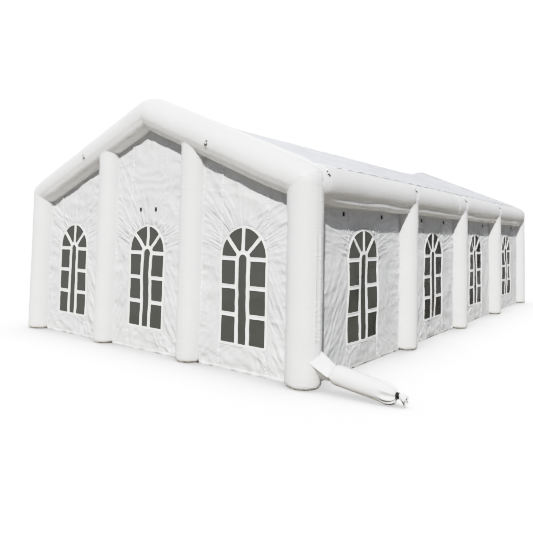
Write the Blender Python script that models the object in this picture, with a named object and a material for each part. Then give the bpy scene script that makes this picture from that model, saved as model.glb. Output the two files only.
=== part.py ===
"""Inflatable marquee tent: welded air tubes, a sheet roof and fabric walls with arched film windows.

The front gable faces -Y and +Z is up. Everything hangs under one empty, which shifts the tent
along X so that the world origin is under the middle of its bounding box, sleeve included.
"""
import math

import bmesh
import bpy
from mathutils import Matrix, Vector

# Driving dimensions, in metres. Spans are between tube axes.
SPAN_X = 5.56
SPAN_Y = 11.20
END_BAY = 2.92
EAVE_Z = 2.40
APEX_Z = 3.55

CORNER_RADIUS = 0.218
BEAM_RADIUS = 0.240
EAVE_RADIUS = 0.265
POST_RADIUS = 0.190
RIDGE_RADIUS = 0.180
RAFTER_RADIUS = 0.170

SHEET = 0.030
WALL = 0.020
FILM = 0.008
FOOT_ROUND = 0.050
# The side walls stand a little outside the eave tube's axis.
SIDE_WALL_OUT = 0.040
# The roof sheet's underside at the ridge, between the gables.
RIDGE_UNDERSIDE_Z = 3.605
# The roof sheets stop this far short of the gable beams' axes, on the beams' inner shoulders.
SHEET_SETBACK = 0.10

# Arched windows: width on the gables, width on the sides, sill, springing and crown heights.
GABLE_WINDOW = 0.75
SIDE_WINDOW = 0.92
SILL_Z = 0.34
SPRING_Z = 1.46
CROWN_Z = 1.86

# The inflation sleeve leaves the front right post, towards +X and a little to the back.
SLEEVE_TURN = math.radians(4.0)
NECK_START = 1.120
NECK_LENGTH = 0.040
NECK_HEIGHT = 0.104
NECK_RADIUS = 0.022
# Distance from the post's axis, height of the sleeve's axis, radius.
SLEEVE_STATIONS = (
    (0.100, 0.262, 0.128),
    (0.330, 0.222, 0.122),
    (0.400, 0.211, 0.116),
    (0.900, 0.134, 0.115),
    (1.020, 0.116, 0.113),
    (1.070, 0.110, 0.096),
    (1.104, 0.105, 0.056),
    (NECK_START, NECK_HEIGHT, NECK_RADIUS),
    (NECK_START + NECK_LENGTH, NECK_HEIGHT, NECK_RADIUS),
    (1.185, 0.088, 0.042),
    (1.225, 0.068, 0.052),
)
TIE_WIDTH = 0.034
TIE_THICKNESS = 0.009

# Touching solids stay this far apart.
GAP = 0.0003

HALF_X = SPAN_X / 2
HALF_Y = SPAN_Y / 2
GABLE_POST_X = SPAN_X / 6
SIDE_POST_OUT = EAVE_RADIUS - POST_RADIUS - 0.002
SIDE_POST_YS = (END_BAY - HALF_Y, 0.0, HALF_Y - END_BAY)
BEAM_PITCH = math.atan2(APEX_Z - EAVE_Z, HALF_X)
# The roof sheet's underside just clears the top of the eave tube.
TO_EAVE = Vector((HALF_X, EAVE_Z - RIDGE_UNDERSIDE_Z))
SHEET_PITCH = math.atan2(-TO_EAVE.y, TO_EAVE.x) - math.asin((EAVE_RADIUS + GAP) / TO_EAVE.length)
SLEEVE_REACH = SLEEVE_STATIONS[-1][0] * math.cos(SLEEVE_TURN)
# Half the difference between the reach on the sleeve's side and on the other.
SHIFT_X = (HALF_X + SLEEVE_REACH - HALF_X - EAVE_RADIUS) / 2

SIDES = (("left", -1), ("right", 1))
ENDS = (("front", -1), ("rear", 1))
TUBE_SIDES = 32
ARCH_STEPS = 16


def clear_scene():
    for old in list(bpy.data.objects):
        bpy.data.objects.remove(old, do_unlink=True)


def make_material(name, colour, roughness, alpha=1.0):
    material = bpy.data.materials.new(name)
    material.use_nodes = True
    shader = material.node_tree.nodes["Principled BSDF"]
    shader.inputs["Base Color"].default_value = (*colour, 1.0)
    shader.inputs["Roughness"].default_value = roughness
    shader.inputs["Metallic"].default_value = 0.0
    shader.inputs["Alpha"].default_value = alpha
    material.diffuse_color = (*colour, alpha)
    return material


def add_object(name, bm, material, root, matrix=None):
    """Turn a bmesh into a named object under the tent's empty, shaded smooth where it is round."""
    bmesh.ops.recalc_face_normals(bm, faces=bm.faces)
    mesh = bpy.data.meshes.new(name)
    bm.to_mesh(mesh)
    bm.free()
    mesh.shade_smooth()
    mesh.set_sharp_from_angle(angle=math.radians(35))
    mesh.materials.append(material)
    thing = bpy.data.objects.new(name, mesh)
    bpy.context.scene.collection.objects.link(thing)
    thing.parent = root
    if matrix is not None:
        thing.matrix_local = matrix
    return thing


def hide_cutter(cutter):
    cutter.hide_render = True
    cutter.display_type = "WIRE"
    return cutter


def cut(thing, *cutters):
    for cutter in cutters:
        boolean = thing.modifiers.new("cut_" + cutter.name, "BOOLEAN")
        boolean.operation = "DIFFERENCE"
        boolean.solver = "EXACT"
        boolean.object = cutter


def tube_matrix(start, end):
    """Local +Z runs from start to end, with the origin at start."""
    direction = end - start
    turn = direction.to_track_quat("Z", "Y").to_matrix().to_4x4()
    return Matrix.Translation(start) @ turn


def slide_to_plane(verts, point, normal):
    """Slide an end ring along local Z until it lies on a plane given in local space."""
    for vert in verts:
        depth = normal.dot(point - vert.co) / normal.z
        vert.co.z += depth


def tube(name, start, end, radius, material, root, start_plane=None, end_plane=None, foot=False):
    """A straight tube, each end square or mitred on a plane (point, normal) in the tent's space."""
    start = Vector(start)
    end = Vector(end)
    matrix = tube_matrix(start, end)
    length = (end - start).length
    bm = bmesh.new()
    bmesh.ops.create_cone(
        bm, cap_ends=True, segments=TUBE_SIDES, radius1=radius, radius2=radius, depth=length,
        matrix=Matrix.Translation((0, 0, length / 2)))
    bm.verts.ensure_lookup_table()
    low = [v for v in bm.verts if v.co.z < length / 2]
    high = [v for v in bm.verts if v.co.z > length / 2]
    inverse = matrix.inverted()
    for verts, plane in ((low, start_plane), (high, end_plane)):
        if plane is not None:
            point = inverse @ Vector(plane[0])
            normal = inverse.to_3x3() @ Vector(plane[1])
            slide_to_plane(verts, point, normal)
    if foot:
        rim = [e for e in bm.edges if all(v in low for v in e.verts)]
        bmesh.ops.bevel(
            bm, geom=rim, offset=FOOT_ROUND, segments=3, profile=0.5, affect="EDGES", material=-1)
    return add_object(name, bm, material, root, matrix)


def cutter_tube(name, start, end, radius, material, root):
    return hide_cutter(tube(name, start, end, radius + GAP, material, root))


def slab(name, outline, thickness, axes, origin, material, root):
    """Extrude an outline, given in the local XY plane, equally to both sides of that plane."""
    matrix = Matrix.Translation(origin) @ axes.to_4x4()
    bm = bmesh.new()
    verts = [bm.verts.new((u, v, -thickness / 2)) for u, v in outline]
    face = bm.faces.new(verts)
    grown = bmesh.ops.extrude_face_region(bm, geom=[face])
    top = [g for g in grown["geom"] if isinstance(g, bmesh.types.BMVert)]
    bmesh.ops.translate(bm, verts=top, vec=(0, 0, thickness))
    return add_object(name, bm, material, root, matrix)


def arch_outline(centre, width, shrink=0.0):
    """A window's outline: a flat sill, straight sides and a half-ellipse head."""
    half = width / 2 - shrink
    rise = CROWN_Z - SPRING_Z - shrink
    points = [(centre - half, SILL_Z + shrink), (centre + half, SILL_Z + shrink)]
    for step in range(ARCH_STEPS + 1):
        angle = math.pi * step / ARCH_STEPS
        points.append((centre + half * math.cos(angle), SPRING_Z + rise * math.sin(angle)))
    return points


def wall_with_window(name, window_name, outline, centre, width, axes, origin, paints, root):
    wall = slab(name, outline, WALL, axes, origin, paints["wall"], root)
    hole = slab(name + "_hole", arch_outline(centre, width), 3 * WALL, axes, origin,
                paints["wall"], root)
    cut(wall, hide_cutter(hole))
    slab(window_name, arch_outline(centre, width, GAP), FILM, axes, origin, paints["film"], root)
    return wall


def corner_point(side, end):
    return Vector((side * HALF_X, end * HALF_Y, EAVE_Z))


def apex_point(end):
    return Vector((0, end * HALF_Y, APEX_Z))


def mitre_normal(side):
    """Normal of the plane halfway between a corner post and its gable beam."""
    up_the_beam = Vector((-side * math.cos(BEAM_PITCH), 0, math.sin(BEAM_PITCH)))
    down_the_post = Vector((0, 0, -1))
    return (up_the_beam - down_the_post).normalized()


def build_gable_arches(paints, root):
    for end_name, end in ENDS:
        for side_name, side in SIDES:
            corner = corner_point(side, end)
            apex = apex_point(end)
            normal = mitre_normal(side)
            below = corner - normal * GAP / 2
            above = corner + normal * GAP / 2
            foot = Vector((corner.x, corner.y, 0))
            tube(f"{end_name}_{side_name}_corner_post", foot, corner, CORNER_RADIUS,
                 paints["tube"], root, end_plane=(below, normal), foot=True)
            beside_apex = apex + Vector((side * GAP / 2, 0, 0))
            tube(f"{end_name}_{side_name}_gable_beam", corner, apex, BEAM_RADIUS, paints["tube"],
                 root, start_plane=(above, normal), end_plane=(beside_apex, (1, 0, 0)))


def build_cutters(paints, root):
    """Tubes grown by the gap, which shape the tubes and sheets that meet them."""
    cutters = {}
    for side_name, side in SIDES:
        low = Vector((side * HALF_X, -HALF_Y, EAVE_Z))
        high = Vector((side * HALF_X, HALF_Y, EAVE_Z))
        cutters["eave", side] = cutter_tube(
            f"cut_{side_name}_eave", low, high, EAVE_RADIUS, paints["tube"], root)
        for end_name, end in ENDS:
            corner = corner_point(side, end)
            apex = apex_point(end)
            past = (apex - corner) * 0.12
            cutters["beam", side, end] = cutter_tube(
                f"cut_{end_name}_{side_name}_beam", corner - past, apex + past, BEAM_RADIUS,
                paints["tube"], root)
            foot = Vector((corner.x, corner.y, -0.1))
            cutters["corner", side, end] = cutter_tube(
                f"cut_{end_name}_{side_name}_corner", foot, corner, CORNER_RADIUS,
                paints["tube"], root)
    ridge_z = RIDGE_UNDERSIDE_Z - (RIDGE_RADIUS + GAP) / math.cos(SHEET_PITCH)
    low = Vector((0, -HALF_Y, ridge_z))
    high = Vector((0, HALF_Y, ridge_z))
    cutters["ridge"] = cutter_tube("cut_ridge", low, high, RIDGE_RADIUS, paints["tube"], root)
    return cutters


def build_gable_posts(cutters, paints, root):
    for end_name, end in ENDS:
        for number, side in enumerate((-1, 1), start=1):
            x = side * GABLE_POST_X
            top = APEX_Z - GABLE_POST_X * math.tan(BEAM_PITCH)
            post = tube(f"{end_name}_gable_post_{number}", (x, end * HALF_Y, 0),
                        (x, end * HALF_Y, top), POST_RADIUS, paints["tube"], root, foot=True)
            cut(post, cutters["beam", side, end])


def build_side_posts(cutters, paints, root):
    for side_name, side in SIDES:
        x = side * (HALF_X + SIDE_POST_OUT)
        for number, y in enumerate(SIDE_POST_YS, start=1):
            post = tube(f"{side_name}_side_post_{number}", (x, y, 0), (x, y, EAVE_Z),
                        POST_RADIUS, paints["tube"], root, foot=True)
            cut(post, cutters["eave", side])


def build_eave_tubes(cutters, paints, root):
    setback = 0.5 * BEAM_RADIUS
    for side_name, side in SIDES:
        reach = HALF_Y - setback
        eave = tube(f"{side_name}_eave_tube", (side * HALF_X, -reach, EAVE_Z),
                    (side * HALF_X, reach, EAVE_Z), EAVE_RADIUS, paints["tube"], root)
        for _, end in ENDS:
            cut(eave, cutters["beam", side, end], cutters["corner", side, end])


def build_ridge_and_rafters(cutters, paints, root):
    ridge_z = RIDGE_UNDERSIDE_Z - (RIDGE_RADIUS + GAP) / math.cos(SHEET_PITCH)
    reach = HALF_Y - 0.7 * BEAM_RADIUS
    ridge = tube("ridge_tube", (0, -reach, ridge_z), (0, reach, ridge_z), RIDGE_RADIUS,
                 paints["tube"], root)
    for key in (("beam", side, end) for side in (-1, 1) for end in (-1, 1)):
        cut(ridge, cutters[key])
    drop = (RAFTER_RADIUS + GAP) / math.cos(SHEET_PITCH)
    inner_x = 0.7 * RIDGE_RADIUS
    outer_x = HALF_X - 0.5 * EAVE_RADIUS
    for side_name, side in SIDES:
        for number, y in enumerate(SIDE_POST_YS, start=1):
            ends = []
            for x in (outer_x, inner_x):
                z = RIDGE_UNDERSIDE_Z - drop - x * math.tan(SHEET_PITCH)
                ends.append(Vector((side * x, y, z)))
            rafter = tube(f"{side_name}_rafter_{number}", ends[0], ends[1], RAFTER_RADIUS,
                          paints["tube"], root)
            cut(rafter, cutters["eave", side], cutters["ridge"])


def build_roof_sheets(cutters, paints, root):
    """Two flat sheets, mitred on the ridge, from the ridge to the seam on top of each eave tube."""
    seam_x = HALF_X + (EAVE_RADIUS + GAP) * math.sin(SHEET_PITCH)
    rise = SHEET / math.cos(SHEET_PITCH)
    face_on = Matrix(((1, 0, 0), (0, 0, -1), (0, 1, 0)))
    for side_name, side in SIDES:
        inner = GAP / 2
        drop_inner = inner * math.tan(SHEET_PITCH)
        drop_outer = seam_x * math.tan(SHEET_PITCH)
        outline = [
            (side * inner, RIDGE_UNDERSIDE_Z - drop_inner),
            (side * seam_x, RIDGE_UNDERSIDE_Z - drop_outer),
            (side * seam_x, RIDGE_UNDERSIDE_Z - drop_outer + rise),
            (side * inner, RIDGE_UNDERSIDE_Z - drop_inner + rise),
        ]
        sheet = slab(f"{side_name}_roof_sheet", outline, SPAN_Y - 2 * SHEET_SETBACK, face_on,
                     Vector((0, 0, 0)), paints["roof"], root)
        for _, end in ENDS:
            cut(sheet, cutters["beam", side, end])


def beam_underside(x):
    axis_z = EAVE_Z + (HALF_X - abs(x)) * math.tan(BEAM_PITCH)
    return axis_z - (BEAM_RADIUS + 2 * GAP) / math.cos(BEAM_PITCH)


def build_gable_walls(paints, root):
    face_on = Matrix(((1, 0, 0), (0, 0, -1), (0, 1, 0)))
    clear = POST_RADIUS + GAP
    edges = (
        (-HALF_X + CORNER_RADIUS + GAP, -GABLE_POST_X - clear),
        (-GABLE_POST_X + clear, GABLE_POST_X - clear),
        (GABLE_POST_X + clear, HALF_X - CORNER_RADIUS - GAP),
    )
    for end_name, end in ENDS:
        for number, (low, high) in enumerate(edges, start=1):
            outline = [(low, 0), (high, 0), (high, beam_underside(high))]
            if low < 0 < high:
                outline.append((0, beam_underside(0)))
            outline.append((low, beam_underside(low)))
            centre = (-HALF_X - GABLE_POST_X) / 2
            centre = (centre, 0.0, -centre)[number - 1]
            wall_with_window(
                f"{end_name}_wall_{number}", f"{end_name}_window_{number}", outline, centre,
                GABLE_WINDOW, face_on, Vector((0, end * HALF_Y, 0)), paints, root)


def build_side_walls(cutters, paints, root):
    """Panels between the posts, whose top edges follow the underside of the eave tube."""
    along_y = Matrix(((0, 0, 1), (1, 0, 0), (0, 1, 0)))
    top = EAVE_Z - 0.9 * EAVE_RADIUS
    axes_y = (-HALF_Y, *SIDE_POST_YS, HALF_Y)
    radii = (CORNER_RADIUS, POST_RADIUS, POST_RADIUS, POST_RADIUS, CORNER_RADIUS)
    for side_name, side in SIDES:
        x = side * (HALF_X + SIDE_WALL_OUT)
        for number in range(1, len(axes_y)):
            low = axes_y[number - 1] + radii[number - 1] + GAP
            high = axes_y[number] - radii[number] - GAP
            outline = [(low, 0), (high, 0), (high, top), (low, top)]
            centre = (axes_y[number - 1] + axes_y[number]) / 2
            wall = wall_with_window(
                f"{side_name}_wall_{number}", f"{side_name}_window_{number}", outline, centre,
                SIDE_WINDOW, along_y, Vector((x, 0, 0)), paints, root)
            cut(wall, cutters["eave", side])


def loft(name, stations, axes, material, root):
    """Extrude a disc through rings of a given centre and radius, square to one direction."""
    bm = bmesh.new()
    first, radius = stations[0]
    bmesh.ops.create_circle(
        bm, cap_ends=True, radius=radius, segments=TUBE_SIDES,
        matrix=Matrix.Translation(first) @ axes)
    root_cap = face = next(iter(bm.faces))
    centre = Vector(first)
    for next_centre, next_radius in stations[1:]:
        grown = bmesh.ops.extrude_face_region(bm, geom=[face])
        if face is not root_cap:
            bmesh.ops.delete(bm, geom=[face], context="FACES_ONLY")
        ring = [g for g in grown["geom"] if isinstance(g, bmesh.types.BMVert)]
        face = next(g for g in grown["geom"] if isinstance(g, bmesh.types.BMFace))
        growth = next_radius / radius
        bmesh.ops.scale(bm, verts=ring, vec=(growth, growth, growth),
                        space=Matrix.Translation(-centre))
        bmesh.ops.translate(bm, verts=ring, vec=Vector(next_centre) - centre)
        centre = Vector(next_centre)
        radius = next_radius
    return add_object(name, bm, material, root)


def build_sleeve(cutters, paints, root):
    """The tube that the blower fills, tied shut near its end, and the strap that ties it."""
    post = Vector((HALF_X, -HALF_Y, 0))
    heading = Vector((math.cos(SLEEVE_TURN), math.sin(SLEEVE_TURN), 0))
    axes = heading.to_track_quat("Z", "Y").to_matrix().to_4x4()

    def centre(distance, height):
        return post + heading * distance + Vector((0, 0, height))

    stations = [(centre(away, height), radius) for away, height, radius in SLEEVE_STATIONS]
    sleeve = loft("inflation_sleeve", stations, axes, paints["tube"], root)
    cut(sleeve, cutters["corner", 1, -1])

    middle = centre(NECK_START + NECK_LENGTH / 2, NECK_HEIGHT)
    inner = NECK_RADIUS + GAP
    bm = bmesh.new()
    profile = []
    for along, out in ((-1, 0), (-1, 1), (1, 1), (1, 0)):
        spot = middle + heading * (along * TIE_WIDTH / 2)
        profile.append(bm.verts.new(spot + Vector((0, 0, inner + out * TIE_THICKNESS))))
    edges = [bm.edges.new(pair) for pair in zip(profile, profile[1:] + profile[:1])]
    bmesh.ops.spin(bm, geom=profile + edges, cent=middle, axis=heading, dvec=(0, 0, 0),
                   angle=2 * math.pi, steps=TUBE_SIDES, use_merge=True)
    add_object("sleeve_tie", bm, paints["strap"], root)


def main():
    clear_scene()
    paints = {
        "tube": make_material("coated_fabric_tube", (0.84, 0.84, 0.84), 0.45),
        "roof": make_material("coated_fabric_roof", (0.82, 0.82, 0.83), 0.50),
        "wall": make_material("coated_fabric_wall", (0.78, 0.78, 0.78), 0.60),
        "film": make_material("window_film", (0.09, 0.10, 0.08), 0.20, alpha=0.6),
        "strap": make_material("woven_strap", (0.02, 0.02, 0.02), 0.80),
    }
    root = bpy.data.objects.new("marquee", None)
    bpy.context.scene.collection.objects.link(root)
    root.location = (-SHIFT_X, 0, 0)

    cutters = build_cutters(paints, root)
    build_gable_arches(paints, root)
    build_gable_posts(cutters, paints, root)
    build_side_posts(cutters, paints, root)
    build_eave_tubes(cutters, paints, root)
    build_ridge_and_rafters(cutters, paints, root)
    build_roof_sheets(cutters, paints, root)
    build_gable_walls(paints, root)
    build_side_walls(cutters, paints, root)
    build_sleeve(cutters, paints, root)


main()
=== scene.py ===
# %% [markdown]
# # An inflatable marquee
# The frame of this marquee is air. Posts, beams and eaves are tubes of coated cloth kept tight by a
# blower, and thinner cloth is sewn between them as roof and walls. Each tube could be a plain
# cylinder, but a blown tube rounds off at its mitres, gathers at its feet and is pinched at its
# seams, so every piece here is a mesh whose points are moved to where the air and the seams put
# them. The frame gives each piece its place, and nothing in it is moved.

import math
from functools import partial

import bmesh
import bpy
import numpy as np
from mathutils import Matrix, Vector


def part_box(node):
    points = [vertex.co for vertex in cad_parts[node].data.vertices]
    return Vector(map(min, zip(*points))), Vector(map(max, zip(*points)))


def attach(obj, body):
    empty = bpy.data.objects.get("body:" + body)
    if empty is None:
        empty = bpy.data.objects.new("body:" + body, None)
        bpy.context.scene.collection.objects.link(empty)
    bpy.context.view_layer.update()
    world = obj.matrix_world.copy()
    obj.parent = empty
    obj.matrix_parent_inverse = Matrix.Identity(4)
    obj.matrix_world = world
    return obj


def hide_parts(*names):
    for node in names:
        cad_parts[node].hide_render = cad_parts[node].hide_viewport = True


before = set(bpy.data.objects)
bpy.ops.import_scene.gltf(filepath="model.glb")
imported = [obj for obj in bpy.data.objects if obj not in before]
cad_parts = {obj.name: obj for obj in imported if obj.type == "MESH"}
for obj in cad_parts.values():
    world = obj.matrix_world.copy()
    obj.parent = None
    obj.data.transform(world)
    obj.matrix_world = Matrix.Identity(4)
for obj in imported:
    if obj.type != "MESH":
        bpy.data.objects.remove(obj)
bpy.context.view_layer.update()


# %% [markdown]
# ## Sizes
# The solids already hold the marquee's sizes, so the script reads them there. A tube's box gives its
# axis and its radius. Only what a box can't say is stated: how far the gable rises, where a window's
# arch begins, and the line of the inflation sleeve.

# %% Read the sizes from the solids
def middle(node):
    low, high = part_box(node)
    return (low + high) / 2


def half(node, axis):
    low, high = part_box(node)
    return (high[axis] - low[axis]) / 2


MID_X = (middle("left_eave_tube").x + middle("right_eave_tube").x) / 2
HALF_X = middle("right_eave_tube").x - MID_X
HALF_Y = -middle("front_right_corner_post").y
EAVE_Z = middle("right_eave_tube").z
EAVE_R = half("right_eave_tube", 2)
CORNER_R = half("front_right_corner_post", 0)
BEAM_R = half("front_right_gable_beam", 1)
POST_R = half("front_gable_post_1", 0)
RIDGE_R = half("ridge_tube", 0)
RIDGE_Z = middle("ridge_tube").z
RAFTER_R = half("right_rafter_1", 1)
GABLE_POST_X = middle("front_gable_post_2").x - MID_X
SIDE_POST_X = middle("right_side_post_1").x - MID_X
SIDE_POST_YS = [middle(f"right_side_post_{number}").y for number in (1, 2, 3)]
SIDE_WALL_X = middle("right_wall_1").x - MID_X
SHEET_TOP_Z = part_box("right_roof_sheet")[1].z
SILL_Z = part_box("front_window_3")[0].z
CROWN_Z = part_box("front_window_3")[1].z

APEX_RISE = 1.15
SPRING_Z = 1.46
BEAM_PITCH = math.atan2(APEX_RISE, HALF_X)
SHEET_PITCH = math.radians(18.4)
SIDES = (("left", -1), ("right", 1))
ENDS = (("front", -1), ("rear", 1))
CORNERS = [(f"{end_name}_{side_name}", side, end) for end_name, end in ENDS for side_name, side in SIDES]
print(f"half span {HALF_X:.3f}, half length {HALF_Y:.3f}, eaves at {EAVE_Z:.3f}, radius {EAVE_R:.3f}")


def beam_axis_z(x):
    """Height of the gable beams' axis at a distance x from the middle."""
    return EAVE_Z + (HALF_X - np.abs(x)) * math.tan(BEAM_PITCH)


# %% [markdown]
# ## Camera
# The view was worked out from the straight edges of the tubes. The camera stands at eye height in
# front of the right corner, turned to the left, and tilted by little more than a degree. The picture
# is a crop of a wider one, so its centre is off the lens's axis, and the lens is shifted by as much.

# %% Place the camera
PICTURE = 533
FOCAL_PIXELS = 538.35
AXIS_PIXEL = (252.1, 201.5)
EYE = Vector((MID_X + 6.204, -11.068, 1.795))
YAW = math.radians(37.77)
TILT_UP = math.radians(3.25)
ROLL = math.radians(1.35)


def place_camera():
    level_part = math.cos(TILT_UP)
    ahead = Vector((-math.sin(YAW) * level_part, math.cos(YAW) * level_part, math.sin(TILT_UP)))
    level = Vector((math.cos(YAW), math.sin(YAW), 0))
    over = level.cross(ahead)
    right = math.cos(ROLL) * level + math.sin(ROLL) * over
    up = -math.sin(ROLL) * level + math.cos(ROLL) * over
    lens = bpy.data.cameras.new("camera")
    lens.sensor_width = 36
    lens.lens = 36 * FOCAL_PIXELS / PICTURE
    lens.shift_x = (PICTURE / 2 - AXIS_PIXEL[0]) / PICTURE
    lens.shift_y = (AXIS_PIXEL[1] - PICTURE / 2) / PICTURE
    lens.clip_end = 200
    camera = bpy.data.objects.new("camera", lens)
    camera.matrix_world = Matrix.Translation(EYE) @ Matrix((right, up, -ahead)).transposed().to_4x4()
    bpy.context.scene.collection.objects.link(camera)
    bpy.context.scene.camera = camera
    return camera


print("camera lens", round(place_camera().data.lens, 2), "mm")


# %% [markdown]
# ## Colours and nodes
# Colours are written as sRGB hex, as a colour picker shows them, and Blender's shaders want linear
# light, so one function turns one into the other. A second adds a node, sets it and links it.

# %% Helpers for colours and nodes
def linear(hex_colour):
    parts = [int(hex_colour[i:i + 2], 16) / 255 for i in (1, 3, 5)]
    return tuple(p / 12.92 if p <= 0.04045 else ((p + 0.055) / 1.055) ** 2.4 for p in parts) + (1.0,)


def add_node(tree, kind, values=None, links=None, **settings):
    """Add a node, set its options, give its inputs values and link others from (node, output)."""
    node = tree.nodes.new("ShaderNode" + kind)
    for name, value in settings.items():
        setattr(node, name, value)
    for name, value in (values or {}).items():
        node.inputs[name].default_value = value
    for name, (source, output) in (links or {}).items():
        tree.links.new(source.outputs[output], node.inputs[name])
    return node


def new_material(name):
    material = bpy.data.materials.new(name)
    material.use_nodes = True
    tree = material.node_tree
    shader = tree.nodes["Principled BSDF"]
    return material, tree, shader


# %% [markdown]
# ## Floor, light and tone
# A white studio: the floor looks white to the camera, but is darker for the light that bounces off
# it, as lawn is, so that the undersides of the tubes keep their shade. Near the marquee its white is
# dimmed by ambient occlusion, a painted contact shadow, and under the marquee it is painted dark as
# the marquee's shade. One small sun comes from the front right at 45 degrees, because the shadows
# under the beams are crisp and as tall as that makes them. Two wide soft lights fill the far sides.
# Last, a tone curve rolls off the whites, as a camera does, or the round tubes would burn out.

# %% Build the stage
# Light on the scene against the light shown, both linear, up to the brightest light that is told apart.
TONE = ((0.05, 0.045), (0.10, 0.095), (0.16, 0.130), (0.24, 0.215), (0.31, 0.350), (0.40, 0.50),
        (0.60, 0.70), (0.80, 0.80), (1.00, 0.87), (1.30, 0.93))
BRIGHTEST = 2.0


def make_floor():
    bm = bmesh.new()
    bmesh.ops.create_circle(bm, cap_ends=True, radius=70, segments=96)
    mesh = bpy.data.meshes.new("floor")
    bm.to_mesh(mesh)
    bm.free()
    floor = bpy.data.objects.new("floor", mesh)
    bpy.context.scene.collection.objects.link(floor)
    material, tree, shader = new_material("white studio floor with painted shade")
    tree.nodes.remove(shader)
    output = tree.nodes["Material Output"]
    ray = add_node(tree, "LightPath")
    bounce = add_node(tree, "BsdfDiffuse", {"Color": linear("#9b9891")})
    # Ambient occlusion dims the floor's white emission near the marquee: a painted contact shadow.
    near = add_node(tree, "AmbientOcclusion", {"Distance": 1.1}, samples=12)
    tone = add_node(tree, "MapRange", {"From Min": 0.42, "From Max": 0.985, "To Min": 0.50, "To Max": 2.0},
                    {"Value": (near, "AO")})
    white = add_node(tree, "Emission", links={"Strength": (tone, 0)})
    spot = add_node(tree, "TexCoord")
    parts = add_node(tree, "SeparateXYZ", links={0: (spot, "Object")})
    from_middle = add_node(tree, "Math", {1: MID_X}, {0: (parts, "X")}, operation="SUBTRACT")
    inside_x = add_node(tree, "Math", {1: 0.0, 2: HALF_X + 0.04}, {0: (from_middle, 0)},
                        operation="COMPARE")
    inside_y = add_node(tree, "Math", {1: 0.0, 2: HALF_Y}, {0: (parts, "Y")}, operation="COMPARE")
    inside = add_node(tree, "Math", links={0: (inside_x, 0), 1: (inside_y, 0)}, operation="MULTIPLY")
    # Under the marquee the floor is painted dark, as painted shade of the marquee's dim inside.
    painted_shade_indoors = add_node(tree, "BsdfDiffuse", {"Color": linear("#47483f")})
    ground = add_node(tree, "MixShader", links={0: (ray, "Is Camera Ray"), 1: (bounce, 0), 2: (white, 0)})
    mix = add_node(tree, "MixShader", links={0: (inside, 0), 1: (ground, 0), 2: (painted_shade_indoors, 0)})
    tree.links.new(mix.outputs[0], output.inputs["Surface"])
    mesh.materials.append(material)


def make_world():
    world = bpy.data.worlds.new("studio")
    bpy.context.scene.world = world
    world.use_nodes = True
    tree = world.node_tree
    ray = add_node(tree, "LightPath")
    sky = tree.nodes["Background"]
    sky.inputs["Color"].default_value = linear("#eef3ff")
    way = add_node(tree, "TexCoord")
    parts = add_node(tree, "SeparateXYZ", links={0: (way, "Generated")})
    height = add_node(tree, "MapRange", {"From Min": 0.1, "From Max": 0.9, "To Min": 0.13, "To Max": 0.62},
                      {"Value": (parts, "Z")})
    tree.links.new(height.outputs[0], sky.inputs["Strength"])
    white = add_node(tree, "Background", {"Color": linear("#ffffff"), "Strength": 2.2})
    mix = add_node(tree, "MixShader", links={0: (ray, "Is Camera Ray"), 1: (sky, 0), 2: (white, 0)})
    tree.links.new(mix.outputs[0], tree.nodes["World Output"].inputs["Surface"])


def add_sun(name, towards, strength, width_deg, colour):
    """towards points from the marquee to the light."""
    lamp = bpy.data.lights.new(name, "SUN")
    lamp.energy = strength
    lamp.angle = math.radians(width_deg)
    lamp.color = linear(colour)[:3]
    sun = bpy.data.objects.new(name, lamp)
    sun.rotation_mode = "QUATERNION"
    sun.rotation_quaternion = Vector(towards).to_track_quat("Z", "Y")
    bpy.context.scene.collection.objects.link(sun)


def set_tone():
    view = bpy.context.scene.view_settings
    view.view_transform = "Standard"
    view.use_curve_mapping = True
    mapping = view.curve_mapping
    mapping.white_level = (BRIGHTEST, BRIGHTEST, BRIGHTEST)
    curve = mapping.curves[3]
    for light, shown in TONE:
        curve.points.new(light / BRIGHTEST, shown)
    mapping.update()


make_floor()
make_world()
add_sun("sun", (0.321, -0.644, 0.695), 3.6, 0.8, "#fffefa")
add_sun("fill", (-0.85, 0.60, 0.45), 1.7, 60, "#f6f8ff")
set_tone()


# %% [markdown]
# ## Coated cloth
# Tubes, roof and walls are polyester cloth coated with soft PVC. Coating fills the weave, so the
# surface is smooth with a dull sheen, an IOR near 1.5 and a roughness near a half. What the eye
# reads is not the weave but the cloth's puckers, a few centimetres long, and the light that passes
# through it, so a tenth or so of the light goes through a Translucent shader. The patterns read
# each piece's own "laid" attribute, its cloth laid out flat or straight in metres, so that a
# pucker runs with the tube and not with the room.

# %% Make the coated cloths
def laid_coordinates(tree, attribute, size):
    """A piece's own coordinates, divided by the size of the pattern; a size of 0 leaves one out."""
    laid = add_node(tree, "Attribute", attribute_name=attribute)
    stretch = tuple(1 / s if s else 0 for s in size)
    return add_node(tree, "Mapping", {"Scale": stretch}, {"Vector": (laid, "Vector")})


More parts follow.
